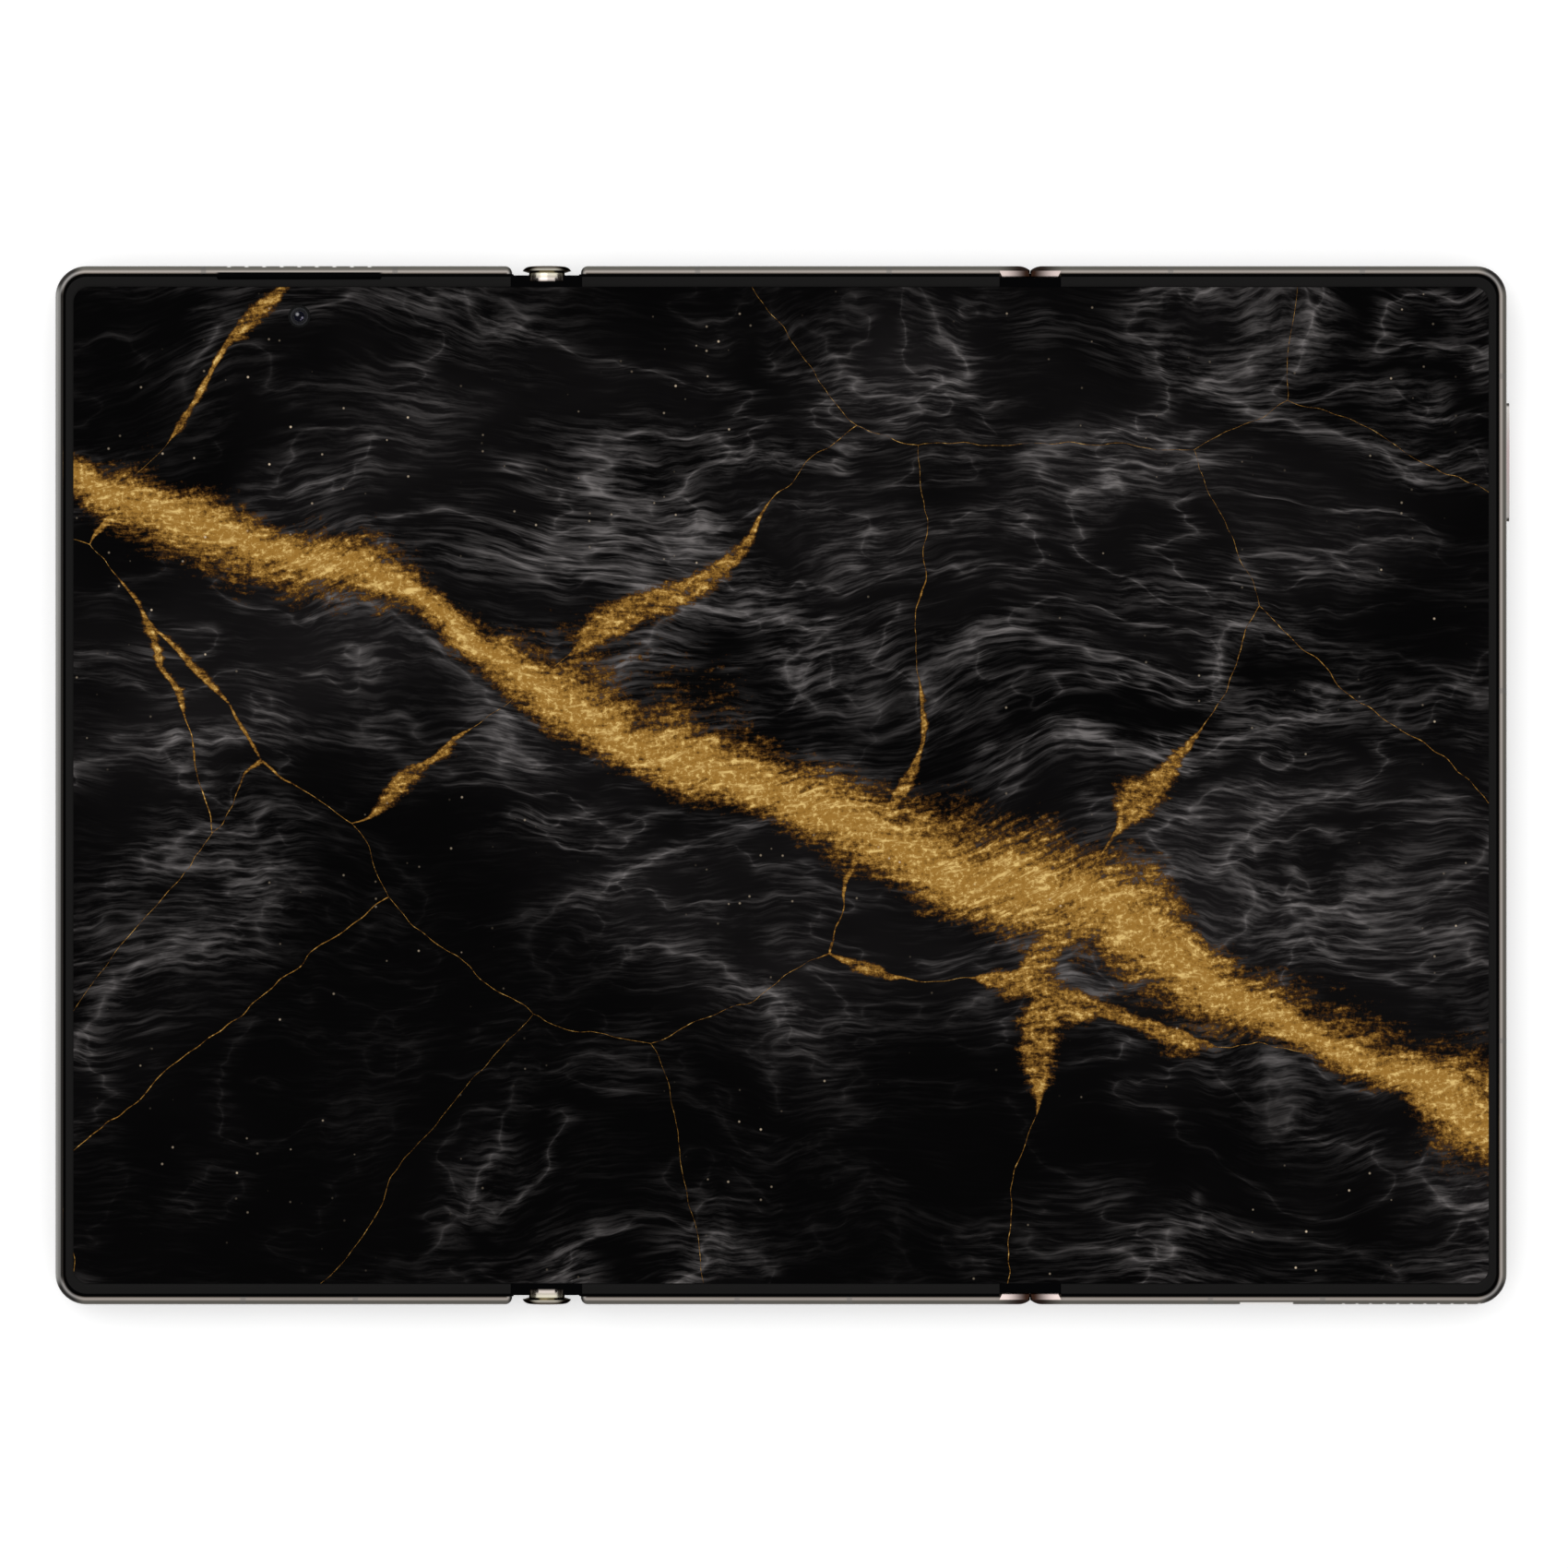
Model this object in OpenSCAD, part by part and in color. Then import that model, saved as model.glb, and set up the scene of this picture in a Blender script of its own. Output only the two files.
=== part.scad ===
// Foldable phone with three panels and two hinges, lying open with its display up.
// The display runs across all three panels. The left panel folds back behind the middle one
// on the outer hinge, and the middle panel folds onto the right one on the inner hinge.
// +X runs from the left panel to the right one, +Y to the top edge, +Z out of the display.
// The origin is below the middle of the phone, on the plane that the camera island touches.

/* [Panels] */
// Width of the middle panel, from one fold line to the other
middle_w = 73; // [68:0.1:84]
// How much wider the left panel is, so that it covers the spine when folded
left_over = 1.1; // [0.7:0.05:1.6]
// How much narrower the right panel is, so that it ends level with the folded outer hinge
right_under = 1.1; // [0.9:0.05:1.6]
// Height of the phone
phone_h = 156.7; // [146:0.1:170]
// Thickness of the left and middle panels, from back to bezel
thin_t = 3.6; // [3.6:0.05:4.2]
// Thickness of the right panel, from back to bezel
right_t = 4.75; // [4.6:0.05:6]
// Corner radius of the outline
corner_r = 4.65; // [4.3:0.05:7]
// Rounding of the frame's front edge
front_round = 0.4; // [0.2:0.05:0.6]
// Rounding of the frame's back edge
back_round = 0.85; // [0.4:0.05:0.95]

/* [Frame] */
// Width of the frame seen beside the bezel
frame_band = 1.15; // [1:0.05:1.4]
// Thickness of the frame's wall behind the display
wall_t = 1.9; // [1.7:0.05:2.4]
// How far the frame stands over the display surface
frame_up = 0.12; // [0.05:0.01:0.2]
// Thickness of the plate that carries the display
plate_t = 0.42; // [0.3:0.01:0.5]
// Thickness of a back cover
cover_t = 0.35; // [0.25:0.05:0.5]
// Width of the frame seen round a back cover
cover_inset = 0.95; // [0.8:0.05:1.2]
// Play round a cover, a bezel and a display in the frame
seat_gap = 0.08; // [0.05:0.01:0.15]
// Rounding of a back cover's edge
cover_round = 0.15; // [0.05:0.01:0.2]
// Width of an antenna break in the frame
antenna_w = 0.8; // [0.5:0.05:1.2]

/* [Display] */
// Thickness of the flexible display
display_t = 0.6; // [0.5:0.01:0.65]
// Height of the raised bezel over the display surface
rim_up = 0.25; // [0.2:0.01:0.35]
// Width of the raised bezel at the top and bottom
bezel_w = 1.9; // [1.4:0.05:2.5]
// Width of the raised bezel at the left and right sides
bezel_side_w = 1.5; // [1.2:0.05:2.5]
// Corner radius of the opening in the bezel
bezel_inner_r = 2.4; // [1.5:0.1:3]
// Rounding of the bezel's outer edge
bezel_round = 0.14; // [0.05:0.01:0.18]
// Distance from the top edge to the display's edge at the outer hinge
outer_display_inset = 2.3; // [2.2:0.05:2.8]
// Distance from the top edge to the display's edge at the inner hinge
inner_display_inset = 1.75; // [1.7:0.05:2.2]

/* [Outer hinge] */
// Half of the gap in the frame at the outer hinge
outer_gap = 5.2; // [5.1:0.05:5.8]
// Corner radius of a frame's end beside the outer hinge
outer_corner_r = 1.06; // [1:0.02:1.5]
// Outer radius that the display takes when folded
bend_r = 3.45; // [3.45:0.05:3.6]
// Depth of the layer of the display that keeps its length in the outer fold
neutral_h = 0.464; // [0.44:0.002:0.5]
// Thickness of a wing plate
wing_t = 0.4; // [0.3:0.01:0.42]
// Thickness of the flange on an end cap, from its face to its rim
flange_t = 0.7; // [0.5:0.05:0.8]
// Radius of the rounded neck
neck_r = 2.85; // [2.6:0.05:2.9]
// Width of a rail tongue along the hinge
tongue_w = 2.4; // [1.8:0.1:3]
// Inner radius of an outer rail
outer_rail_r = 0.75; // [0.72:0.01:0.8]
// Thickness of an outer rail
outer_rail_t = 0.3; // [0.2:0.01:0.32]
// Depth of the gear shafts in the barrel
outer_shaft_h = 1.8; // [1.75:0.01:1.85]
// Half of the distance between the gear shafts
outer_shaft_u = 0.8; // [0.76:0.01:0.82]
// Length of an outer arm from its shaft
outer_arm_l = 6; // [5.6:0.1:6.6]

/* [Inner hinge] */
// Half of the gap between the display's faces when folded shut
fold_gap = 0.3; // [0.28:0.01:0.34]
// Depth of the inner fold axes below the display surface
pivot_h = 0.525; // [0.5:0.005:0.54]
// Radius of the spine's outer face
spine_r = 2.27; // [2.2:0.01:2.3]
// Play between the spine and the panels
spine_gap = 0.15; // [0.1:0.01:0.18]
// Near edge of a support plate, from the fold line
door_near = 1.47; // [1.45:0.01:1.6]
// Far edge of a support plate, from the fold line
door_far = 6.59; // [6.3:0.01:7]
// Thickness of a support plate
door_t = 0.35; // [0.25:0.01:0.38]
// Tilt of a support plate when folded shut
door_tilt = 15; // [13:0.5:16]
// Inner radius of an inner rail
inner_rail_r = 1.4; // [1.3:0.01:1.45]
// Thickness of an inner rail
inner_rail_t = 0.42; // [0.3:0.01:0.45]
// Depth of the gear shafts in the spine
inner_shaft_h = 1.55; // [1.5:0.01:1.6]
// Pitch radius of the four gears in the spine
inner_pitch_r = 0.62; // [0.58:0.01:0.64]
// Length of an inner arm from its shaft
inner_arm_l = 4.9; // [4.4:0.1:5.2]

/* [Gears] */
// Number of teeth on each gear
teeth = 10; // [8:2:12]
// Width of the gears and arms along the hinge
gear_w = 3; // [2.4:0.1:3.4]
// Diameter of the gear shafts
shaft_d = 0.5; // [0.4:0.02:0.56]
// Thickness of the arms
arm_t = 0.44; // [0.34:0.02:0.5]
// Running play of gears, rails and keys
run_gap = 0.04; // [0.03:0.005:0.06]
// Distance of the hinge stations from the middle of the phone
station_y = 54; // [40:1:60]

/* [Camera] */
// Height of the camera island over the right back cover
island_t = 2.2; // [1.5:0.1:3]
// Width of the camera island across its flats
island_w = 37; // [33:0.5:42]
// Distance of the island's middle from the top edge
island_y = 26.5; // [24:0.5:34]
// Diameter of a lens window
lens_d = 9.4; // [8:0.1:10]
// Distance of the lens windows from the island's middle
lens_spread = 8.6; // [8:0.1:9.5]
// Diameter of a rear lens
lens_glass_d = 5; // [4:0.1:5.4]
// Diameter of the front camera's window
front_lens_d = 3.4; // [2.8:0.1:4]
// Distance of the front camera from the top edge
front_lens_y = 7.6; // [7:0.1:9]

/* [Keys and ports] */
// Length of the power key
key_l = 17.9; // [12:0.1:24]
// Width of the power key
key_w = 2.1; // [1.6:0.05:2.3]
// How far the power key stands out of the frame
key_proud = 0.5; // [0.3:0.05:0.7]
// Travel of the power key
key_travel = 0.3; // [0.2:0.05:0.35]
// Distance of the power key's middle from the top edge
key_y = 29.55; // [24:0.05:48]
// Width of the USB-C opening
usb_w = 8.4; // [8.3:0.05:9]
// Height of the USB-C opening
usb_h = 2.6; // [2.5:0.05:2.8]
// Length of the SIM tray's door
sim_w = 13.4; // [12.8:0.1:15]
// Height of the SIM tray's door
sim_h = 1.7; // [1.5:0.05:1.8]
// Length of the SIM tray
sim_l = 15; // [13:0.1:17]
// Diameter of a loudspeaker hole
hole_d = 1.2; // [0.8:0.05:1.5]
// Distance between the loudspeaker holes
hole_pitch = 2.05; // [1.8:0.05:2.4]
// Diameter of an earpiece hole in the top edge
ear_hole_d = 1.6; // [1:0.05:1.8]
// Distance between the earpiece holes
ear_pitch = 2.67; // [2.3:0.01:3]

/* [Hidden] */
$fn = 48;
e = 0.01;

// Heights
z_rim = island_t + right_t;
zd = z_rim - rim_up;
thin_back_h = thin_t - rim_up;
right_back_h = right_t - rim_up;
plate_h = display_t + plate_t;

// Fold lines and edges across the phone
left_w = middle_w + left_over;
right_w = middle_w - right_under;
phone_w = left_w + middle_w + right_w;
x_left = -(phone_w + key_proud) / 2;
x_outer = x_left + left_w;
x_inner = x_outer + middle_w;
x_right = x_inner + right_w;
half_h = phone_h / 2;
cavity_half = half_h - wall_t;

// Outer fold: four equal bends, so two axes on each side of the fold line
link_angle = 45;
neutral_r = bend_r - neutral_h;
link_l = 2 * neutral_r * tan(link_angle / 2);
outer_axis_1 = link_l / 2;
outer_axis_2 = 3 * link_l / 2;
bend_half = 2 * link_l;
wing_y = half_h - outer_display_inset - 0.15;
battery_u = 10;
outer_rail_u = 8.5;
barrel_h = 3.1;
rim_r = bend_r + rim_up;
cap_proud = 0.05;
cap_flare = 1.1;
cap_under = 0.3;
waist_r = neck_r - 0.15;
barrel_half = 2.2;

// Inner fold
pivot_u = fold_gap + pivot_h;
end_round = pivot_h + rim_up;
wall_y = half_h - inner_display_inset + 0.1;
spine_y = wall_y - 0.2;
lip_r = spine_r + spine_gap;
shoulder_h = display_t + door_t + 0.15;
inner_bend_half = 4.65;
rail_u = 8;
station_l = 12.6;
rail_dy = 4.6;
station_ys = [-station_y, 0, station_y];
gear_ys = [-station_y, station_y];
cover_u = 3.6;
door_y = spine_y - 0.2;
notch_end_r = 2.75;
notch_half = 1.8;

// Depths of pieces inside the thin panels and the right one
thin_floor_h = thin_back_h - cover_t;
right_floor_h = right_back_h - cover_t;
battery_gap = 0.06;

// Places along the panels
left_mid = x_left + left_w / 2 - 0.25;
middle_mid = x_outer + middle_w / 2 + 0.75;
right_mid = x_inner + right_w / 2 - 0.3;
front_lens_x = left_mid;
ear_x = left_mid;
ear_hole_h = 1.65;
ear_holes = 8;
sim_x = left_mid;
sim_mid_h = (plate_h + thin_floor_h) / 2;
tray_t = 0.8;
usb_x = right_mid;
usb_mid_h = (plate_h + right_floor_h) / 2;
speaker_holes = 10;
speaker_x = x_right - 14.4;
mic_d = 0.8;
key_lip = 0.25;
key_flange_t = 0.6;
key_mid_y = half_h - key_y;
key_h = plate_h + key_w / 2 + key_lip + run_gap;

// Antenna breaks: distances from a panel's middle, and places down the right side
top_break = 0.198 * middle_w;
bottom_break = 0.116 * middle_w;
side_breaks = [0.394 * phone_h, 0.091 * phone_h, -0.246 * phone_h];

// Camera island, from its face up
island_x = right_mid;
island_mid_y = half_h - island_y;
island_step = 0.4;
island_rim_w = 2;
island_ledge_w = 2;
island_bore = island_w - 2 * (island_rim_w + island_ledge_w);
glass_up = 0.25;
glass_t = 0.65;
glass_back = glass_up + glass_t;
lens_angles = [150, 30, 270];
lens_hood = 0.9;
lens_seat = 1.6;
barrel_l = 3.2;
module_w = lens_d + 1;
module_t = 1.8;
flash_d = 4.2;
flash_up = lens_spread - 0.2;

// Front camera: its barrel, its lens and its housing
front_barrel_l = 2.65;
front_glass_d = 1.7;
front_seat = 0.55;
front_housing_w = 5.2;
front_housing_t = 1.6;

// Bays of the batteries, the board and the small modules
battery_r = 1.2;
battery_side = 0.4;
top_bay = 16;
bottom_bay = 16;
right_battery_t = 2.2;
board_y = island_mid_y - island_w / 2 - 4.5;
board_side = 4;
board_t = 0.5;
shield_w = 10;
shield_t = 1.5;
speaker_w = hole_pitch * (speaker_holes + 1.2);
speaker_l = 12.8;
motor_d = 8.6;
motor_t = 2.6;
heel_u = left_over + 0.2;
heel_h = thin_back_h + 0.7;

// ---------- drawing helpers ----------

// Extrudes a section drawn in X and height above the display surface, from y0 to y1
module section(y0, y1)
    translate([0, y1, zd]) rotate([90, 0, 0]) linear_extrude(y1 - y0) children();

// Rectangle in a section, between two distances and two depths
module depth_box(u0, u1, h0, h1)
    translate([u0, -h1]) square([u1 - u0, h1 - h0]);

// Ring sector round the origin, from angle a0 to a1
module ring_sector(r0, r1, a0, a1)
    intersection() {
        difference() {
            circle(r1);
            circle(r0);
        }
        polygon(concat([[0, 0]],
            [for (i = [0:6]) 3 * r1 * [cos(a0 + (a1 - a0) * i / 6), sin(a0 + (a1 - a0) * i / 6)]]));
    }

// Lens with a flat back at 0 and a domed front, d across, h high and t thick at its edge
module lens(d, h, t) {
    dome = h - t;
    r = (d * d / 4 + dome * dome) / (2 * dome);
    intersection() {
        cylinder(d = d, h = h);
        translate([0, 0, h - r]) sphere(r);
    }
}

// What is outside a rounded corner of radius r
module corner_bit(r)
    difference() {
        square(r + e);
        circle(r);
    }

// Half of a slab's section: from 0 out to r, its edges rounded
module edge_profile(r, z0, z1, f0, f1)
    difference() {
        translate([0, z0]) square([r, z1 - z0]);
        if (f1 > 0) translate([r - f1, z1 - f1]) corner_bit(f1);
        if (f0 > 0) translate([r - f0, z0 + f0]) mirror([0, 1]) corner_bit(f0);
    }

// Flat outline with one corner radius at the left and one at the right
module outline(x0, x1, hy, rl, rr) {
    translate([x0 + rl, -hy]) square([x1 - x0 - rl - rr, 2 * hy]);
    translate([x0, rl - hy]) square([rl, 2 * (hy - rl)]);
    translate([x1 - rr, rr - hy]) square([rr, 2 * (hy - rr)]);
    for (s = [-1, 1]) {
        translate([x0 + rl, s * (hy - rl)]) circle(rl);
        translate([x1 - rr, s * (hy - rr)]) circle(rr);
    }
}

// Flat plate with rounded corners, between two depths
module plate(x0, x1, hy, rl, rr, h0, h1)
    translate([0, 0, zd - h1]) linear_extrude(h1 - h0) outline(x0, x1, hy, rl, rr);

// Slab with rounded corners and rounded front and back edges, between two depths
module slab(x0, x1, hy, rl, rr, h0, h1, f0, f1)
    translate([0, 0, zd]) {
        translate([x0 + rl, 0, 0]) rotate([90, 0, 90]) linear_extrude(x1 - x0 - rl - rr)
            for (s = [0, 1]) mirror([s, 0]) edge_profile(hy, -h1, -h0, f0, f1);
        for (s = [0, 1]) mirror([0, s, 0]) {
            translate([x0 + rl, hy - rl, 0]) rotate([0, 0, 90])
                rotate_extrude(angle = 90) edge_profile(rl, -h1, -h0, f0, f1);
            translate([x1 - rr, hy - rr, 0])
                rotate_extrude(angle = 90) edge_profile(rr, -h1, -h0, f0, f1);
        }
        translate([x0 + rl, hy - rl, 0]) rotate([90, 0, 0]) linear_extrude(2 * (hy - rl))
            mirror([1, 0]) edge_profile(rl, -h1, -h0, f0, f1);
        translate([x1 - rr, hy - rr, 0]) rotate([90, 0, 0]) linear_extrude(2 * (hy - rr))
            edge_profile(rr, -h1, -h0, f0, f1);
    }

// Box between two corners in plan and two depths
module depth_cube(x0, x1, y0, y1, h0, h1)
    translate([x0, y0, zd - h1]) cube([x1 - x0, y1 - y0, h1 - h0]);

// Rod along Y
module rod_y(d, y0, y1)
    translate([0, y1, 0]) rotate([90, 0, 0]) cylinder(d = d, h = y1 - y0);

// Row of round holes along X, at depth h, running along Y
module hole_row(x, count, pitch, h, d, y0, y1)
    for (i = [0:count - 1])
        translate([x + (i - (count - 1) / 2) * pitch, 0, zd - h]) rod_y(d, y0, y1);

// Slot with round ends, w long in X and h high, running along Y
module slot_y(w, h, y0, y1) {
    for (s = [-1, 1]) translate([s * (w - h) / 2, 0, 0]) rod_y(h, y0, y1);
    translate([-(w - h) / 2, y0, -h / 2]) cube([w - h, y1 - y0, h]);
}

// Slot with round ends, l long in Y and w high, running along X
module slot_x(l, w, x0, x1)
    rotate([0, 0, 90]) slot_y(l, w, -x1, -x0);

// Puts children at a fold line, turned so that +X runs into the panel
module at_fold(x, side)
    translate([x, 0, 0]) mirror([side < 0 ? 1 : 0, 0, 0]) children();

// Gear outline: straight-sided teeth on a pitch circle
module gear_outline(pitch_r, phase) {
    m = 2 * pitch_r / teeth;
    root_r = pitch_r - 1.1 * m;
    tip_r = pitch_r + 0.75 * m;
    step = 360 / teeth;
    polygon([for (i = [0:teeth - 1])
        for (p = [[root_r, -0.3], [tip_r, -0.11], [tip_r, 0.11], [root_r, 0.3]])
            p[0] * [cos(phase + (i + p[1]) * step), sin(phase + (i + p[1]) * step)]]);
}

// ---------- panels ----------

// Solid blank of each panel's frame
module left_blank()
    slab(x_left, x_outer - outer_gap, half_h, corner_r, outer_corner_r,
        -frame_up, thin_back_h, back_round, front_round);
module middle_blank()
    slab(x_outer + outer_gap, x_inner + notch_end_r - notch_half, half_h, outer_corner_r, notch_end_r,
        -frame_up, thin_back_h, back_round, front_round);
module right_blank()
    slab(x_inner - notch_end_r + notch_half, x_right, half_h, notch_end_r, corner_r,
        -frame_up, right_back_h, back_round, front_round);

// Recess for the back cover, room inside and room for the display
module left_room() {
    plate(x_left + cover_inset, x_outer - outer_gap - cover_inset, half_h - cover_inset,
        corner_r - cover_inset, outer_corner_r, thin_floor_h, thin_back_h + 1);
    plate(x_left + wall_t, x_outer - outer_rail_u, cavity_half,
        corner_r - wall_t, 1, plate_h, thin_back_h);
    plate(x_left + frame_band, x_outer, half_h - frame_band,
        corner_r - frame_band, 1, -1, display_t);
}
module middle_room() {
    plate(x_outer + outer_gap + cover_inset, x_inner - cover_u, half_h - cover_inset,
        outer_corner_r, outer_corner_r, thin_floor_h, thin_back_h + 1);
    plate(x_outer + outer_rail_u, x_inner - rail_u, cavity_half, 1, 1, plate_h, thin_back_h);
    plate(x_outer, x_inner - inner_bend_half, half_h - frame_band, 1, 0.1, -1, display_t);
}
module right_room() {
    plate(x_inner + cover_u, x_right - cover_inset, half_h - cover_inset,
        outer_corner_r, corner_r - cover_inset, right_floor_h, right_back_h + 1);
    plate(x_inner + rail_u, x_right - wall_t, cavity_half, 1, corner_r - wall_t, plate_h, right_back_h);
    plate(x_inner + inner_bend_half, x_right - frame_band, half_h - frame_band,
        0.1, corner_r - frame_band, -1, display_t);
}

// Slices of the frame's wall that the antenna breaks fill
module break_slices(mid, at_right_side = false) {
    for (s = [-1, 1]) {
        translate([mid + s * top_break - antenna_w / 2, cavity_half, -1])
            cube([antenna_w, wall_t + 1, z_rim + 2]);
        translate([mid + s * bottom_break - antenna_w / 2, -half_h - 1, -1])
            cube([antenna_w, wall_t + 1, z_rim + 2]);
    }
    if (at_right_side)
        for (y = side_breaks)
            translate([x_right - wall_t, y - antenna_w / 2, -1]) cube([wall_t + 1, antenna_w, z_rim + 2]);
}

// End of a panel's frame at the outer hinge: the plate's strip, its rail tongues and the arm slots
function slant(h) = tan(link_angle / 2) * (h - neutral_h) + run_gap;
module outer_strip()
    section(-wing_y, wing_y)
        polygon([[outer_axis_2 + slant(display_t), -display_t], [outer_gap + 0.5, -display_t],
            [outer_gap + 0.5, -plate_h], [outer_axis_2 + slant(plate_h), -plate_h]]);
module outer_tongues(axis_u)
    for (y = station_ys)
        section(y - tongue_w / 2, y + tongue_w / 2)
            translate([axis_u, -neutral_h])
                ring_sector(outer_rail_r, outer_rail_r + outer_rail_t, -107, -36);
module outer_arm_slots()
    for (y = gear_ys)
        section(y - gear_w / 2 - 0.1, y + gear_w / 2 + 0.1)
            depth_box(outer_gap - 1, outer_rail_u + 0.5,
                outer_shaft_h - arm_t / 2 - 0.1, thin_floor_h - 0.02);
module outer_end_parts() {
    outer_strip();
    translate([0, -rail_dy, 0]) outer_tongues(outer_axis_2);
}

// End of a panel's frame at the inner hinge: what is cut away for the spine, the support plate
// and the arms
module inner_end_cut(back_h) {
    section(-half_h - 1, half_h + 1) {
        depth_box(-2, pivot_u - end_round, -2, back_h + 1);
        difference() {
            depth_box(-2, pivot_u, -2, pivot_h);
            translate([pivot_u, -pivot_h]) circle(end_round);
        }
        if (back_h > heel_h)
            polygon([[-2, -thin_back_h], [heel_u - 0.75, -thin_back_h], [heel_u, -heel_h],
                [heel_u, 0.4 - back_h], [heel_u + 0.4, -back_h],
                [heel_u + 0.4, -back_h - 1], [-2, -back_h - 1]]);
    }
    section(-wall_y, wall_y) {
        translate([pivot_u, -pivot_h]) circle(lip_r);
        depth_box(-2, pivot_u, -2, pivot_h + lip_r);
        depth_box(-2, door_far + door_t / 2 + seat_gap, -2, display_t + door_t + seat_gap);
        polygon([[door_far + seat_gap, -display_t], [pivot_u, -display_t],
            for (u = [pivot_u, door_far + seat_gap])
                [u, -(display_t + door_t / cos(door_tilt) + seat_gap + (door_far - u) * tan(door_tilt))]]);
    }
    for (y = gear_ys)
        section(y - gear_w / 2 - 0.1, y + gear_w / 2 + 0.1)
            depth_box(pivot_u, 3 * inner_pitch_r + inner_arm_l + 0.35,
                inner_shaft_h - arm_t / 2 - 0.15, inner_shaft_h + arm_t / 2 + 0.57);
    translate([door_far, -wall_y - 0.6, zd - display_t - door_t / 2])
        rod_y(0.34, 0, 2 * wall_y + 1.2);
}
// The facets between the frame's front edge and the display beside the fold
module inner_facets()
    for (s = [0, 1]) mirror([0, s, 0])
        translate([-1, 0, zd]) rotate([90, 0, 90]) linear_extrude(inner_bend_half + 1)
            polygon([[wall_y - e, -0.3], [wall_y - e, 1], [wall_y + 1, 1], [wall_y + 1, frame_up]]);
// Rail tongues that hang in the spine's grooves
module inner_tongues()
    for (y = station_ys)
        section(y + rail_dy - tongue_w / 2, y + rail_dy + tongue_w / 2)
            translate([pivot_u, -pivot_h]) {
                ring_sector(inner_rail_r, inner_rail_r + inner_rail_t, -160, -30);
                ring_sector(inner_rail_r, lip_r + 0.9, -44, -30);
            }

module left_frame() color("#b9aca3") {
    difference() {
        left_blank();
        left_room();
        break_slices(left_mid);
        at_fold(x_outer, -1) outer_arm_slots();
        translate([front_lens_x, half_h - front_lens_y, 0]) cylinder(d = front_lens_d, h = zd);
        hole_row(ear_x, ear_holes, ear_pitch, ear_hole_h, ear_hole_d, cavity_half - 1, half_h + 1);
        translate([sim_x, 0, zd - sim_mid_h])
            slot_y(sim_w + 2 * seat_gap, sim_h + 2 * seat_gap, -half_h - 1, 1 - cavity_half);
    }
    at_fold(x_outer, -1) outer_end_parts();
}

module middle_frame() color("#b9aca3") {
    difference() {
        middle_blank();
        middle_room();
        break_slices(middle_mid);
        at_fold(x_outer, 1) outer_arm_slots();
        at_fold(x_inner, -1) {
            inner_end_cut(thin_back_h);
            inner_facets();
        }
    }
    at_fold(x_outer, 1) outer_end_parts();
    at_fold(x_inner, -1) mirror([0, 1, 0]) inner_tongues();
}

module right_frame() color("#b9aca3") {
    difference() {
        right_blank();
        right_room();
        break_slices(right_mid, true);
        at_fold(x_inner, 1) {
            inner_end_cut(right_back_h);
            inner_facets();
        }
        translate([0, key_mid_y, zd - key_h])
            slot_x(key_l + 2 * run_gap, key_w + 2 * run_gap, x_right - wall_t - 1, x_right + 1);
        translate([usb_x, 0, zd - usb_mid_h]) slot_y(usb_w, usb_h, -half_h - 1, 1 - cavity_half);
        hole_row(speaker_x, speaker_holes, hole_pitch, usb_mid_h, hole_d, -half_h - 1, 1 - cavity_half);
        translate([usb_x, 0, zd - usb_mid_h]) rod_y(mic_d, cavity_half - 1, half_h + 1);
    }
    at_fold(x_inner, 1) inner_tongues();
}

module break_colour() color("#8f867f") children();
module left_antenna_breaks() break_colour() intersection() {
    difference() {
        left_blank();
        left_room();
    }
    break_slices(left_mid);
}
module middle_antenna_breaks() break_colour() intersection() {
    difference() {
        middle_blank();
        middle_room();
    }
    break_slices(middle_mid);
}
module right_antenna_breaks() break_colour() intersection() {
    difference() {
        right_blank();
        right_room();
    }
    break_slices(right_mid, true);
}

// Back covers, bonded to the step round each frame's back
module cover(x0, x1, rl, rr, back_h)
    slab(x0 + seat_gap, x1 - seat_gap, half_h - cover_inset - seat_gap, rl - seat_gap, rr - seat_gap,
        back_h - cover_t, back_h, cover_round, 0);
module left_cover() color("#2a2523")
    cover(x_left + cover_inset, x_outer - outer_gap - cover_inset,
        corner_r - cover_inset, outer_corner_r, thin_back_h);
module middle_cover() color("#2a2523")
    cover(x_outer + outer_gap + cover_inset, x_inner - cover_u,
        outer_corner_r, outer_corner_r, thin_back_h);
module right_cover() color("#2a2523") difference() {
    cover(x_inner + cover_u, x_right - cover_inset,
        outer_corner_r, corner_r - cover_inset, right_back_h);
    translate([island_x, island_mid_y, 0]) cylinder(d = island_bore + 1, h = zd);
}

// Flexible display: stiff where it is bonded to a panel, free where it bends
module left_display() color("#101012") difference() {
    plate(x_left + frame_band + seat_gap, x_outer - bend_half, half_h - frame_band - seat_gap,
        corner_r - frame_band - seat_gap, 0.1, 0, display_t);
    translate([front_lens_x, half_h - front_lens_y, 0]) cylinder(d = front_lens_d, h = zd + 1);
}
module middle_display() color("#101012")
    plate(x_outer + bend_half, x_inner - inner_bend_half, half_h - frame_band - seat_gap,
        0.1, 0.1, 0, display_t);
module right_display() color("#101012")
    plate(x_inner + inner_bend_half, x_right - frame_band - seat_gap, half_h - frame_band - seat_gap,
        0.1, corner_r - frame_band - seat_gap, 0, display_t);
module outer_fold_display() color("#101012")
    depth_cube(x_outer - bend_half, x_outer + bend_half, outer_display_inset - half_h,
        half_h - outer_display_inset, 0, display_t);
module inner_fold_display() color("#101012")
    depth_cube(x_inner - inner_bend_half, x_inner + inner_bend_half, inner_display_inset - half_h,
        half_h - inner_display_inset, 0, display_t);

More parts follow.
